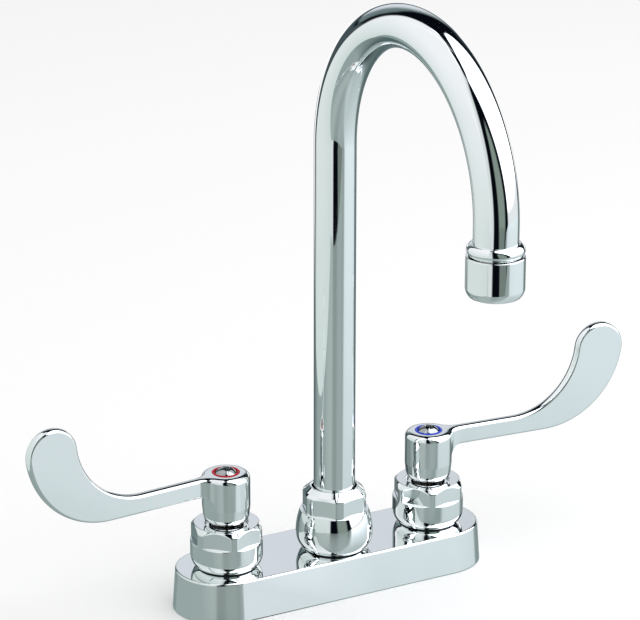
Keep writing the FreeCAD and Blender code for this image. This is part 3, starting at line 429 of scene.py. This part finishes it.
# Each finish: a darker and a lighter colour, the least and most roughness, how metallic it is, how
# fine its grain is (per metre) and how deep (in metres)
FINISHES = {
    "chrome_plate": ((0.89, 0.91, 0.91), (0.91, 0.93, 0.93), 0.015, 0.05, 1.0, 45, 6e-6),
    "screw_steel": ((0.38, 0.39, 0.39), (0.48, 0.49, 0.49), 0.05, 0.12, 1.0, 300, 1e-6),
    "ring_red": ((0.42, 0.002, 0.010), (0.52, 0.004, 0.018), 0.22, 0.34, 0.0, 900, 6e-6),
    "ring_blue": ((0.006, 0.035, 0.48), (0.012, 0.060, 0.62), 0.22, 0.34, 0.0, 900, 6e-6),
    "waterway_brass": ((0.50, 0.33, 0.12), (0.74, 0.53, 0.24), 0.26, 0.46, 1.0, 380, 3e-5),
    # foot_brass: brass darkened far below its own colour, as painted shade
    "foot_brass": ((0.12, 0.09, 0.05), (0.20, 0.15, 0.09), 0.24, 0.38, 1.0, 600, 1e-5),
    "gasket_rubber": ((0.012, 0.013, 0.014), (0.032, 0.034, 0.036), 0.62, 0.82, 0.0, 1400, 4e-5),
    "seal_rubber": ((0.010, 0.010, 0.011), (0.026, 0.026, 0.028), 0.45, 0.65, 0.0, 1200, 1.5e-5),
    "bushing_plastic": ((0.62, 0.61, 0.57), (0.74, 0.73, 0.69), 0.38, 0.52, 0.0, 700, 1e-5),
    "housing_plastic": ((0.012, 0.013, 0.016), (0.030, 0.032, 0.037), 0.34, 0.52, 0.0, 900, 1.5e-5),
    "insert_plastic": ((0.50, 0.53, 0.54), (0.66, 0.69, 0.70), 0.32, 0.48, 0.0, 800, 1e-5),
    "pin_steel": ((0.58, 0.59, 0.58), (0.74, 0.75, 0.74), 0.20, 0.34, 1.0, 900, 8e-6),
    "washer_steel": ((0.52, 0.54, 0.55), (0.72, 0.74, 0.75), 0.26, 0.42, 1.0, 420, 1.2e-5),
    "screen_steel": ((0.46, 0.47, 0.47), (0.72, 0.73, 0.73), 0.24, 0.36, 1.0, 900, 1e-5),
    "disc_ceramic": ((0.80, 0.78, 0.73), (0.88, 0.86, 0.82), 0.10, 0.20, 0.0, 1500, 4e-6),
}
GRAIN_START, GRAIN_END = 0.35, 0.65
GRAIN_DETAIL = 3.0
ROUGHNESS_GRAIN, BUMP_GRAIN = 0.6, 2
RING_SPECULAR = 0.3
# The screen's wires: their pitch and depth in metres, the colour between them, and the wave's
# values at which a wire starts and is whole
WIRE_PITCH = 0.0007
WIRE_DEPTH = 0.0002
WIRE_GAP = (0.02, 0.02, 0.022)
WIRE_START, WIRE_WHOLE = 0.45, 0.75


def ramp(tree, value, low, high, start=GRAIN_START, end=GRAIN_END):
    """Two values or colours, mixed by how far the texture's value is from start to end."""
    span = tree.nodes.new("ShaderNodeMapRange")
    span.inputs["From Min"].default_value = start
    span.inputs["From Max"].default_value = end
    link(tree, value, span.inputs["Value"])
    if isinstance(low, tuple):
        mix = tree.nodes.new("ShaderNodeMix")
        mix.data_type = "RGBA"
        link(tree, span.outputs["Result"], mix.inputs[0])
        mix.inputs[6].default_value = (*low, 1)
        mix.inputs[7].default_value = (*high, 1)
        return mix.outputs[2]
    span.inputs["To Min"].default_value = low
    span.inputs["To Max"].default_value = high
    return span.outputs["Result"]


def noise(tree, place, scale):
    texture = tree.nodes.new("ShaderNodeTexNoise")
    texture.inputs["Scale"].default_value = scale
    texture.inputs["Detail"].default_value = GRAIN_DETAIL
    link(tree, place, texture.inputs["Vector"])
    return texture.outputs[0]


def bands(tree, place, axis, pitch):
    """Ridges across an axis, one each pitch."""
    texture = tree.nodes.new("ShaderNodeTexWave")
    texture.bands_direction = axis
    texture.inputs["Scale"].default_value = math.pi / 10 / pitch
    link(tree, place, texture.inputs["Vector"])
    return texture.outputs["Fac"]


def bump(tree, height, depth, before=None):
    node = tree.nodes.new("ShaderNodeBump")
    node.inputs["Strength"].default_value = 1.0
    node.inputs["Distance"].default_value = depth
    link(tree, height, node.inputs["Height"])
    if before is not None:
        link(tree, before, node.inputs["Normal"])
    return node.outputs["Normal"]


def make_material(slot):
    """A finish with a fine grain in its colour, its roughness and its surface."""
    dark, light, smooth, rough, metal, grain, depth = FINISHES[slot]
    material = bpy.data.materials.new(slot)
    material.use_nodes = True
    tree = material.node_tree
    shader = tree.nodes["Principled BSDF"]
    shader.inputs["Metallic"].default_value = metal
    place = tree.nodes.new("ShaderNodeTexCoord").outputs["Object"]
    colour = ramp(tree, noise(tree, place, grain), dark, light)
    roughness = ramp(tree, noise(tree, place, grain * ROUGHNESS_GRAIN), smooth, rough)
    normal = bump(tree, noise(tree, place, grain * BUMP_GRAIN), depth)
    if slot == "screen_steel":
        wires = greatest(tree, *(bands(tree, place, axis, WIRE_PITCH) for axis in "XY"))
        colour = ramp(tree, wires, WIRE_GAP, light, WIRE_START, WIRE_WHOLE)
        normal = bump(tree, wires, WIRE_DEPTH, normal)
    if slot.startswith("ring"):
        shader.inputs["Specular IOR Level"].default_value = RING_SPECULAR
    link(tree, colour, shader.inputs["Base Color"])
    link(tree, roughness, shader.inputs["Roughness"])
    link(tree, normal, shader.inputs["Normal"])
    return material


# Sizes of the pieces below, in millimetres and degrees. Corners are (radius, height), with the
# radius that rounds them where there is one. The sizes are the solids', apart from softer edges,
# the dark seams, the thread, and the hubs' feet and bonnet nuts' tops, which stand a little
# lower, as in the photograph.
MM = 0.001
HOT_X, COLD_X = -50.8, 50.8
SPOUT_Y = -4.93
# Points within this many metres of each other are merged, and edges past this angle stay sharp
MERGE = 2e-6
CREASE = math.radians(50)
# A rounded corner takes up at most this share of each side
CORNER_SHARE = 0.48
TURNED_PARTS, HEXAGON_PARTS = 144, 360
# How softly the flats of a hexagon meet the round that cuts its corners
HEXAGON_SOFT = 0.35

# The seam under each nut and the inner part of the recess in a bonnet nut's top, painted black as
# shade
SEAM_LOW, SEAM_TOP = 18.34, 18.72
SEAM_MARGIN = 0.02
RECESS_SHADE = 8.4
RECESS_LOW = 30.0

# A bonnet nut: its foot and belly, its hexagon's half width, corner radius and lower end, the
# chamfer's height at the corners and its slope, and the nut's top with its recess
BONNET_FOOT = [(11.4, SEAM_LOW), (12.4, SEAM_LOW), (12.4, SEAM_TOP), (12.9, SEAM_TOP, 0.1)]
BONNET_BELLY = (13.1, 18.85), (15.85, 24.0)
BONNET_FLAT, BONNET_CORNER = 14.35, 15.85
BONNET_HEXAGON = 31.0
CHAMFER_LOW = 36.9
CHAMFER_SLOPE = 2.4 / 2.15
BONNET_TOP = [(14.05, 38.85, 0.5), (9.7, 38.85, 0.3), (9.5, 37.3, 0.2), (7.4, 37.3, 0.2),
              (7.4, 35.2), (11.4, 35.2)]
HOT_NUT_TURN, COLD_NUT_TURN, SPOUT_NUT_TURN = 16.2, 7.1, 10.9

# The spout nut: its foot, its belly's two ends and widest place, its hexagon's half width, corner
# radius and two heights, and the nut's top with its bore
SPOUT_NUT_FOOT = [(12.1, SEAM_LOW), (12.7, SEAM_LOW), (12.7, SEAM_TOP), (13.2, SEAM_TOP, 0.1)]
SPOUT_NUT_LOW, SPOUT_NUT_HIGH = (13.5, 18.85), (15.1, 36.6)
SPOUT_NUT_WIDEST = (17.0, 25.6)
SPOUT_NUT_FLAT, SPOUT_NUT_CORNER = 13.3, 14.3
SPOUT_HEXAGON = 36.6, 44.6
SPOUT_NUT_TOP = [(12.9, 45.7, 0.6), (10.75, 47.8, 0.25), (10.1, 47.8, 0.15), (9.4, 47.0),
                 (9.4, 38.6), (12.1, 38.6)]

# The tube: its two radii, its foot, the height of its far end, and the bend between them
TUBE_RADIUS, TUBE_BORE = 9.08, 8.08
TUBE_LOW, TUBE_END = 33.0, 190.0
BEND_RADIUS, BEND_HEIGHT = 64.3, 203.6
OUTLET_Y = SPOUT_Y - 2 * BEND_RADIUS
TUBE_PARTS, BEND_PARTS = 112, 120
RISE_PARTS, END_PARTS = 11, 3

# The outlet: the fitting with a bead round its top, and the aerator's shell
FITTING_FOOT = [(7.9, 184.0), (10.15, 184.0, 0.3), (10.15, 192.4, 0.2), (11.0, 192.4, 0.2),
                (11.0, 192.95, 0.25)]
BEAD_LOW, BEAD_WIDEST, BEAD_HIGH = (11.1, 192.95), (11.65, 194.3), (9.6, 197.1)
FITTING_TOP = [(9.12, 197.05, 0.15), (9.12, TUBE_END), (7.9, TUBE_END)]
SHELL_MOUTH = [(8.8, 176.7), (8.8, 175.2, 0.3), (10.15, 175.2, 0.3)]
SHELL_BELLY = (10.35, 175.3), (11.85, 178.9)
SHELL_TOP = [(11.85, 191.9, 0.5), (10.85, 191.9, 0.15), (10.65, 191.6), (10.65, 182.4),
             (10.0, 182.4), (10.0, 176.7), (8.8, 176.7)]

# The lever: its hub, the neck and the blade. From its foot up, the hub curves out to its waist
# over HUB_CURVE, and its wall is straight from HUB_STRAIGHT on. From above, the neck joins the
# hub at TOUCH. From the side, the blade has two bends and a round tip, as (x, z, radius) in the
# lever's own frame.
LEVER_TOP = 61.9
HUB_LOW = 39.2
HUB_BASE, HUB_WAIST, HUB_RADIUS = 7.7, 10.1, 10.5
HUB_CURVE, HUB_STRAIGHT = 4.0, 7.8
HUB_ROUND = 2.8
BLADE_HALF = 2.3
NECK_BLEND = 8.0
NECK_LOW = 53.2
NECK_CURVE = 5.0
NECK_END = 20.0
TOUCH = math.asin((BLADE_HALF + NECK_BLEND) / (HUB_RADIUS + NECK_BLEND))
STEM_BORE, SOCKET_TOP = 4.06, 57.3
SCREW_WAY = 2.05
RING_SEAT_RADIUS, RING_SEAT = 6.15, 60.5
TIP = (85.0, 88.9, 11.7)
INNER = (42.03, 93.4, 31.5)
OUTER = (57.72, 92.4, 39.2)
# How far the blade's crowned rim reaches in from its edge, and the angles of a quarter round
RIM = 1.35
FILLET = np.linspace(0, math.pi / 2, 9)
HUB_PARTS, BLEND_PARTS, FRONT_PARTS = 60, 12, 16
BEND_STEPS, TIP_STEPS = 40, 60
# The hub's edge round narrows to the neck's from this part of the way round the hub, and reaches
# at most this share of the way to the lever's middle line
NARROW_FROM = 0.55
EDGE_SHARE = 0.95
HOT_LEVER_TURN, COLD_LEVER_TURN = 184.8, -4.8

# The shanks' thread: its pitch, its root and crest radius, half the width of a ridge there, how
# deep its foot is sunk, the heights between which it shows, how many parts it has in a turn, and
# how many of them each end tapers over
THREAD_PITCH = 1.814
THREAD_ROOT, THREAD_CREST = 10.44, 10.80
RIDGE_BASE, RIDGE_CREST = 0.66, 0.12
THREAD_SUNK = 0.1
THREAD_SHOWN = ((-43.6, -31.3), (-28.8, -25.2), (-15.8, -3.0))
THREAD_PARTS = 36
TAPER_PARTS, TAPER_START = 9, 0.2

# The colour ring, which sits in the hub's top
RING = [(4.95, RING_SEAT), (6.1, RING_SEAT), (6.1, 62.2, 0.4), (4.95, 62.2, 0.3),
        (4.95, RING_SEAT)]

# The screw: its head, the cross in it, with each limit from whole to none, and its shank
SCREW_HEAD, SCREW_EDGE, SCREW_DOME = 4.85, 61.6, 2.6
CROSS_HALF_WIDTH = 0.45, 0.75
CROSS_HALF_LENGTH = 2.3, 2.9
CROSS_MIDDLE = 0.6, 1.3
CROSS_DEPTH = 2.2
SCREW_SHANK = ((1.95, 48.5), (1.95, RING_SEAT), (SCREW_HEAD, RING_SEAT))
SCREW_PARTS, SCREW_RINGS = 96, 40
SCREW_CENTRE = 0.02


def rounded(corners):
    """Points of an outline. A corner's third number is the radius that rounds it."""
    points = []
    for k, corner in enumerate(corners):
        here = np.array(corner[:2], float)
        radius = corner[2] if len(corner) > 2 else 0
        if not radius or k in (0, len(corners) - 1):
            points.append(here)
            continue
        back = np.array(corners[k - 1][:2], float) - here
        on = np.array(corners[k + 1][:2], float) - here
        points += fillet(here, back, on, radius)
    return np.array(points)


def fillet(here, back, on, radius, parts=6):
    """Points of an arc that rounds the corner between two sides."""
    long_back, long_on = np.hypot(*back), np.hypot(*on)
    if min(long_back, long_on) < 1e-6:
        return [here] * (parts + 1)
    back, on = back / long_back, on / long_on
    half = math.acos(float(np.clip(back @ on, -0.99999, 0.99999))) / 2
    reach = min(radius / math.tan(half), CORNER_SHARE * long_back, CORNER_SHARE * long_on)
    radius = reach * math.tan(half)
    middle = here + (back + on) / np.hypot(*(back + on)) * radius / math.sin(half)
    start, end = here + back * reach - middle, here + on * reach - middle
    a = math.atan2(start[1], start[0])
    turn = math.atan2(end[1], end[0]) - a
    turn = (turn + math.pi) % (2 * math.pi) - math.pi
    return [middle + radius * np.array((math.cos(a + turn * t), math.sin(a + turn * t)))
            for t in np.linspace(0, 1, parts + 1)]


def belly(low, high, parts=8):
    """Corners of an arc from low that ends upright at high, both as (radius, height)."""
    (r0, z0), (r1, z1) = low, high
    swell, rise = r1 - r0, z1 - z0
    radius = (swell * swell + rise * rise) / (2 * swell)
    whole = math.asin(rise / radius)
    return [(r1 - radius * (1 - math.cos(whole * t)), z1 - radius * math.sin(whole * t))
            for t in np.linspace(1, 0, parts + 1)]


def soft_least(a, b, soft):
    """The lesser of two lengths, with the crease between them rounded."""
    h = np.clip(0.5 + 0.5 * (b - a) / soft, 0, 1)
    return b * (1 - h) + a * h - soft * h * (1 - h)


def clean(obj):
    """Merges points that meet and turns every face outward."""
    shape = bmesh.new()
    shape.from_mesh(obj.data)
    bmesh.ops.remove_doubles(shape, verts=shape.verts, dist=MERGE)
    bmesh.ops.recalc_face_normals(shape, faces=shape.faces)
    shape.to_mesh(obj.data)
    shape.free()


def face_normals(obj):
    """Normals weighted by area, so that flat faces stay flat next to their rounded edges.

    Faces that meet at more than CREASE degrees keep a sharp edge between them."""
    clean(obj)
    mesh = obj.data
    faces, corners = len(mesh.polygons), len(mesh.loops)
    facing, area = np.zeros(faces * 3), np.zeros(faces)
    sides, ids = np.zeros(faces, int), np.zeros(corners, int)
    mesh.polygons.foreach_get("normal", facing)
    mesh.polygons.foreach_get("area", area)
    mesh.polygons.foreach_get("loop_total", sides)
    mesh.loops.foreach_get("vertex_index", ids)
    order = np.argsort(ids, kind="stable")
    ids = ids[order]
    normal = np.repeat(facing.reshape(-1, 3), sides, axis=0)[order]
    weighted = normal * np.repeat(area, sides)[order][:, None]
    total = weighted.copy()
    for step in range(1, int(np.bincount(ids).max())):
        alike = (normal[step:] * normal[:-step]).sum(axis=1) > math.cos(CREASE)
        near = (ids[step:] == ids[:-step]) & alike
        total[step:][near] += weighted[:-step][near]
        total[:-step][near] += weighted[step:][near]
    length = np.linalg.norm(total, axis=1, keepdims=True)
    out = np.zeros_like(total)
    out[order] = total / np.where(length > 0, length, 1)
    mesh.normals_split_custom_set(out.tolist())


def finish(obj, body, slot, *stands_for):
    """Gives a piece its body and its material, and hides the solids that it stands for."""
    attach(obj, body)
    if stands_for:
        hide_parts(*stands_for)
    obj.data.materials.append(MATERIALS[slot])


def turned_piece(name, profile, x, y):
    """A closed (radius, height) outline turned about an upright axis."""
    profile = np.array(profile)
    a = np.linspace(0, 2 * math.pi, TURNED_PARTS, endpoint=False)
    r, z = profile[:, 0][:, None], profile[:, 1][:, None]
    points = np.stack((x + r * np.cos(a), y + r * np.sin(a), z + 0 * a), -1).reshape(-1, 3)
    obj = new_mesh(name, points * MM, grid_faces(len(profile), TURNED_PARTS))
    face_normals(obj)
    return obj


def hexagon_radius(angle, flat, corner, turn):
    """How far a hexagon with rounded corners reaches at an angle, given half its width."""
    off = (angle - turn) % 60 - 30
    return soft_least(flat / math.cos(math.radians(off)), corner, HEXAGON_SOFT)


def hexagon_piece(name, profile_at, x, y):
    """A piece whose closed outline changes with the angle."""
    rows = []
    for k in range(HEXAGON_PARTS):
        angle = k * 360 / HEXAGON_PARTS
        a = math.radians(angle)
        rows.append([(x + r * math.cos(a), y + r * math.sin(a), z) for r, z in profile_at(angle)])
    points = np.array(rows).transpose(1, 0, 2)
    faces = grid_faces(points.shape[0], HEXAGON_PARTS)
    obj = new_mesh(name, points.reshape(-1, 3) * MM, faces)
    face_normals(obj)
    return obj


def paint_groove_shade(nut, x, y):
    """Painted shade: the seam under a nut and the bottom of the recess in its top get the black
    seal material.
    """
    # the black seal material is painted shade here, on the seam's faces and the recess's inner
    # faces
    nut.data.materials.append(MATERIALS["seal_rubber"])
    for face in nut.data.polygons:
        reach = math.hypot(face.center.x - x * MM, face.center.y - y * MM)
        recess = reach < RECESS_SHADE * MM and face.center.z > RECESS_LOW * MM
        if face.center.z < (SEAM_TOP + SEAM_MARGIN) * MM or recess:
            face.material_index = 1


def make_bonnet_nut(side, x, turn):
    def profile_at(angle):
        reach = hexagon_radius(angle, BONNET_FLAT, BONNET_CORNER, turn)
        chamfer = CHAMFER_LOW + (BONNET_CORNER - reach) * CHAMFER_SLOPE
        hexagon = [(BONNET_CORNER, BONNET_HEXAGON, 0.5), (reach, BONNET_HEXAGON, 0.4),
                   (reach, chamfer, 1.1)]
        return rounded(BONNET_FOOT + belly(*BONNET_BELLY) + hexagon + BONNET_TOP)
    obj = hexagon_piece("bonnet_shell_" + side, profile_at, x, 0)
    finish(obj, "base", "chrome_plate", "bonnet_nut_" + side)
    # the seam and the inner recess painted black, as shade
    paint_groove_shade(obj, x, 0)


def make_spout_nut():
    bulge = belly(SPOUT_NUT_LOW, SPOUT_NUT_WIDEST, 10)
    bulge += belly(SPOUT_NUT_HIGH, SPOUT_NUT_WIDEST, 10)[-2::-1]
    low, high = SPOUT_HEXAGON

    def profile_at(angle):
        reach = hexagon_radius(angle, SPOUT_NUT_FLAT, SPOUT_NUT_CORNER, SPOUT_NUT_TURN)
        hexagon = [(reach, low, 0.35), (reach, high, 0.8)]
        return rounded(SPOUT_NUT_FOOT + bulge + hexagon + SPOUT_NUT_TOP)
    obj = hexagon_piece("spout_nut_shell", profile_at, 0, SPOUT_Y)
    finish(obj, "base", "chrome_plate", "spout_nut")
    # the seam painted black, as shade
    paint_groove_shade(obj, 0, SPOUT_Y)


def tube_spine():
    """The tube's middle line as (y, z) from its foot to its end, each with its direction."""
    rise = np.linspace(TUBE_LOW, BEND_HEIGHT, RISE_PARTS + 1)[:-1]
    end = np.linspace(BEND_HEIGHT, TUBE_END, END_PARTS + 1)[1:]
    spine = [(SPOUT_Y, z, 0.0, 1.0) for z in rise]
    for t in np.radians(np.linspace(0, 180, BEND_PARTS + 1)):
        c, n = math.cos(t), math.sin(t)
        y, z = SPOUT_Y - BEND_RADIUS + BEND_RADIUS * c, BEND_HEIGHT + BEND_RADIUS * n
        spine.append((y, z, -n, c))
    return spine + [(OUTLET_Y, z, 0.0, -1.0) for z in end]


def make_tube():
    """The bent tube, with its inner wall."""
    spine = tube_spine()
    a = np.linspace(0, 2 * math.pi, TUBE_PARTS, endpoint=False)
    points = []
    for radius, order in ((TUBE_RADIUS, 1), (TUBE_BORE, -1)):
        across, off = radius * np.cos(a), radius * np.sin(a)
        for y, z, dy, dz in spine[::order]:
            points.append(np.stack((across, y + off * dz, z - off * dy), -1))
    points = np.concatenate(points)
    obj = new_mesh("gooseneck", points * MM, grid_faces(2 * len(spine), TUBE_PARTS))
    face_normals(obj)
    finish(obj, "spout", "chrome_plate", "gooseneck_tube")


def make_outlet():
    bead = belly(BEAD_LOW, BEAD_WIDEST, 5) + belly(BEAD_HIGH, BEAD_WIDEST, 12)[-2::-1]
    fitting = rounded(FITTING_FOOT + bead + FITTING_TOP)
    obj = turned_piece("outlet_bead", fitting, 0, OUTLET_Y)
    finish(obj, "spout", "chrome_plate", "outlet_fitting")
    shell = rounded(SHELL_MOUTH + belly(*SHELL_BELLY, 10) + SHELL_TOP)
    obj = turned_piece("aerator_sleeve", shell, 0, OUTLET_Y)
    finish(obj, "spout", "chrome_plate", "aerator_shell")


def lever_rim():
    """Places along the rim past the neck, each with the direction out of the metal."""
    out = []

    def arc(middle, first, last, steps, outward):
        for t in np.radians(np.linspace(first, last, steps)):
            c, n = math.cos(t), math.sin(t)
            place = (middle[0] + middle[2] * c, middle[1] + middle[2] * n)
            out.append((*place, outward * c, outward * n))

    inner_end = math.degrees(math.atan2(TIP[1] - INNER[1], TIP[0] - INNER[0]))
    outer_end = math.degrees(math.atan2(TIP[1] - OUTER[1], TIP[0] - OUTER[0]))
    out.append((NECK_END, LEVER_TOP, 0.0, 1.0))
    arc(INNER, -90, inner_end, BEND_STEPS, -1)
    arc(TIP, 180 + inner_end, outer_end, TIP_STEPS, 1)
    arc(OUTER, outer_end, -90, BEND_STEPS, 1)
    out.append((NECK_END, NECK_LOW, 0.0, -1.0))
    keep = [out[0]]
    for place in out[1:]:
        if math.hypot(place[0] - keep[-1][0], place[1] - keep[-1][1]) > 1e-3:
            keep.append(place)
    return keep


def lever_outline():
    """Half of the hub and neck from above: place, direction outward and angle about the hub.

    Also how many of the places are on the hub, and which place is at the hub's front."""
    neck_x, blend_y = (HUB_RADIUS + NECK_BLEND) * math.cos(TOUCH), BLADE_HALF + NECK_BLEND
    front = -math.acos((HUB_RADIUS - neck_x) / NECK_BLEND)
    half = []
    for t in np.linspace(math.pi, TOUCH, HUB_PARTS):
        c, n = math.cos(t), math.sin(t)
        half.append((HUB_RADIUS * c, HUB_RADIUS * n, c, n, t))
    on_hub = len(half)
    blend = [*np.linspace(TOUCH - math.pi, front, BLEND_PARTS)[1:],
             *np.linspace(front, -math.pi / 2, FRONT_PARTS)[1:]]
    for t in blend:
        c, n = math.cos(t), math.sin(t)
        px = neck_x + NECK_BLEND * c
        angle = math.acos(min(1.0, px / HUB_RADIUS))
        half.append((px, blend_y + NECK_BLEND * n, -c, -n, angle))
    half.append((NECK_END, BLADE_HALF, 0.0, 1.0, 0.0))
    return half, on_hub, on_hub + BLEND_PARTS - 2


def neck_floor(px):
    """Height of the neck's underside, which curves down to the hub."""
    off = min(0.0, px - HUB_RADIUS * math.cos(TOUCH) - NECK_CURVE)
    return NECK_LOW - NECK_CURVE + math.sqrt(max(0.0, NECK_CURVE ** 2 - off * off))


def around(profile, angle):
    return [(r * math.cos(angle), r * math.sin(angle), z) for r, z in profile]


def hub_profile():
    """The hub's side from under the neck down to the stem's socket, as (radius, height)."""
    foot = HUB_LOW + HUB_CURVE
    wall = rounded([(HUB_RADIUS, NECK_LOW - NECK_CURVE), (HUB_RADIUS, HUB_LOW + HUB_STRAIGHT, 3.0),
                    (HUB_WAIST, foot)])
    curve = belly((HUB_BASE, HUB_LOW), (HUB_WAIST, foot), 10)[-2:0:-1]
    bottom = [(HUB_BASE, HUB_LOW, 0.3), (STEM_BORE, HUB_LOW)]
    return rounded([tuple(p) for p in wall] + curve + bottom)


def inset(place, outward, far):
    """The points that lie inward of a place by each of several distances."""
    return [(place[0] - outward[0] * d, place[1] - outward[1] * d) for d in far]


def hub_and_neck():
    """Patches of points for half of the hub and neck: the hub, the neck and the hub's front."""
    half, on_hub, at_front = lever_outline()
    last = len(half) - 1
    wall = hub_profile()
    socket = [(STEM_BORE, HUB_LOW), (STEM_BORE, SOCKET_TOP), (SCREW_WAY, SOCKET_TOP),
              (SCREW_WAY, RING_SEAT), (RING_SEAT_RADIUS, RING_SEAT), (RING_SEAT_RADIUS, LEVER_TOP)]
    over, under = 1 - np.cos(FILLET), 1 - np.sin(FILLET)
    hub, neck = [], []
    for k, (px, py, nx, ny, angle) in enumerate(half):
        share = float(smooth_step(k, on_hub * NARROW_FROM, last))
        wide = HUB_ROUND + (BLADE_HALF - HUB_ROUND) * share
        deep = HUB_ROUND + (RIM - HUB_ROUND) * share
        if on_hub <= k < last:
            wide = min(wide, EDGE_SHARE * py / ny)
        edge = inset((px, py), (nx, ny), wide * under)
        row = around(socket, angle)
        row += [(x, y, z) for (x, y), z in zip(edge, LEVER_TOP - deep * over)]
        if k < on_hub:
            hub.append(row + around(wall, angle))
        if k >= on_hub - 1:
            share, low = float(smooth_step(k, at_front, last)), neck_floor(px)
            edge = inset((px, py), (nx, ny), BLADE_HALF * share * over)
            row += [(x, y, z) for (x, y), z in zip(edge, low + RIM * share * under)]
            neck.append(row + [(px, math.sqrt(max(0.0, HUB_RADIUS ** 2 - px * px)), low)])
    front = []
    for place in half[on_hub - 1:at_front + 1]:
        top = (HUB_RADIUS, neck_floor(HUB_RADIUS * math.cos(place[4])))
        front.append(around([top, *wall], place[4]))
    return hub, neck, front


def make_lever(side, x, turn):
    """A wrist-blade lever, built along +X about its axis and then turned into place."""
    points, faces = [], []

    def add_rows(rows):
        """Adds a patch of quads from rows of points, one row for each place along it."""
        start = len(points)
        for row in rows:
            points.extend(row)
        faces.extend(grid_faces(len(rows), len(rows[0]), around=False, over=False, start=start))

    for patch in hub_and_neck():
        add_rows(patch)
        add_rows([[(a, -b, c) for a, b, c in row] for row in patch[::-1]])
    # the rim of the neck and blade, and the two flat faces
    rim = lever_rim()
    rows = []
    for px, pz, nx, nz in rim:
        edge = inset((px, pz), (nx, nz), RIM * (1 - np.cos(FILLET[::-1])))
        row = [(a, y, c) for (a, c), y in zip(edge, -BLADE_HALF * np.sin(FILLET[::-1]))]
        rows.append(row + [(a, -b, c) for a, b, c in row[::-1]])
    add_rows(rows)
    for y in (-BLADE_HALF, BLADE_HALF):
        faces.append(tuple(range(len(points), len(points) + len(rim))))
        points.extend((px - nx * RIM, y, pz - nz * RIM) for px, pz, nx, nz in rim)
    a = math.radians(turn)
    px, py, pz = np.array(points).T
    turned = np.stack((x + px * math.cos(a) - py * math.sin(a),
                       px * math.sin(a) + py * math.cos(a), pz), -1)
    obj = new_mesh("wrist_blade_" + side, turned * MM, faces)
    face_normals(obj)
    finish(obj, "handle_" + side, "chrome_plate", "lever_" + side)


def make_thread(side, x):
    """The thread's ridge round a shank, tapered at the ends, left out under the washer and nut."""
    points, faces = [], []
    for low, high in THREAD_SHOWN:
        steps = int((high - low - 2 * RIDGE_BASE) / THREAD_PITCH * THREAD_PARTS)
        start = len(points)
        for k in range(steps + 1):
            a = 2 * math.pi * k / THREAD_PARTS
            z = low + RIDGE_BASE + THREAD_PITCH * k / THREAD_PARTS
            rise = min(1.0, (min(k, steps - k) + TAPER_START) / TAPER_PARTS)
            top = THREAD_ROOT + (THREAD_CREST - THREAD_ROOT) * rise
            section = ((THREAD_ROOT, -RIDGE_BASE), (top, -RIDGE_CREST), (top, RIDGE_CREST),
                       (THREAD_ROOT, RIDGE_BASE), (THREAD_ROOT - THREAD_SUNK, 0))
            points += [(x + r * math.cos(a), r * math.sin(a), z + off) for r, off in section]
        corners = len(section)
        faces += grid_faces(steps + 1, corners, over=False, start=start)
        faces += [tuple(range(start, start + corners)),
                  tuple(range(len(points) - corners, len(points)))]
    obj = new_mesh("shank_thread_" + side, np.array(points) * MM, faces)
    face_normals(obj)
    finish(obj, "base", "waterway_brass")


def make_index_ring(side, x):
    obj = turned_piece("colour_ring_" + side, rounded(RING)[:-1], x, 0)
    colour = "ring_red" if side == "hot" else "ring_blue"
    finish(obj, "handle_" + side, colour, "index_ring_" + side)


def share_left(length, limits):
    """1 up to the first limit, falling to 0 at the second."""
    return smooth_step(-length, -limits[1], -limits[0])


def make_screw(side, x):
    """Domed head with a cross recess, whose floor narrows downwards, and a plain shank."""
    sphere = (SCREW_HEAD * SCREW_HEAD + SCREW_DOME * SCREW_DOME) / (2 * SCREW_DOME)
    turns = [(math.cos(2 * math.pi * k / SCREW_PARTS), math.sin(2 * math.pi * k / SCREW_PARTS))
             for k in range(SCREW_PARTS)]
    points = [(x + r * c, r * n, z) for r, z in SCREW_SHANK for c, n in turns]
    for r in np.linspace(SCREW_HEAD, SCREW_CENTRE, SCREW_RINGS):
        z = SCREW_EDGE + SCREW_DOME - sphere + math.sqrt(sphere * sphere - r * r)
        for c, n in turns:
            u, v = abs(r * c), abs(r * n)
            arm = share_left(min(u, v), CROSS_HALF_WIDTH)
            arm *= share_left(max(u, v), CROSS_HALF_LENGTH)
            middle = share_left(max(u, v), CROSS_MIDDLE)
            points.append((x + r * c, r * n, z - CROSS_DEPTH * max(arm, middle)))
    faces = grid_faces(len(SCREW_SHANK) + SCREW_RINGS, SCREW_PARTS, over=False)
    faces += [tuple(range(SCREW_PARTS)), tuple(range(len(points) - SCREW_PARTS, len(points)))]
    obj = new_mesh("screw_head_" + side, np.array(points) * MM, faces)
    face_normals(obj)
    finish(obj, "handle_" + side, "screw_steel", "handle_screw_" + side)


make_camera()
make_world()
make_floor()
make_dome()
make_left_panel()
make_table()
make_lamp()
MATERIALS = {}
for slot in sorted({part["material_slot"] for part in frame["record"]["subparts"]}):
    MATERIALS[slot] = make_material(slot)
make_bonnet_nut("hot", HOT_X, HOT_NUT_TURN)
make_bonnet_nut("cold", COLD_X, COLD_NUT_TURN)
make_spout_nut()
make_tube()
make_outlet()
make_lever("hot", HOT_X, HOT_LEVER_TURN)
make_lever("cold", COLD_X, COLD_LEVER_TURN)
for side, x in (("hot", HOT_X), ("cold", COLD_X)):
    make_index_ring(side, x)
    make_screw(side, x)
    make_thread(side, x)
for part in frame["record"]["subparts"]:
    obj = nodes[part["node"]]
    obj.data.materials.clear()
    obj.data.materials.append(MATERIALS[part["material_slot"]])

bpy.context.scene.view_settings.view_transform = "Standard"
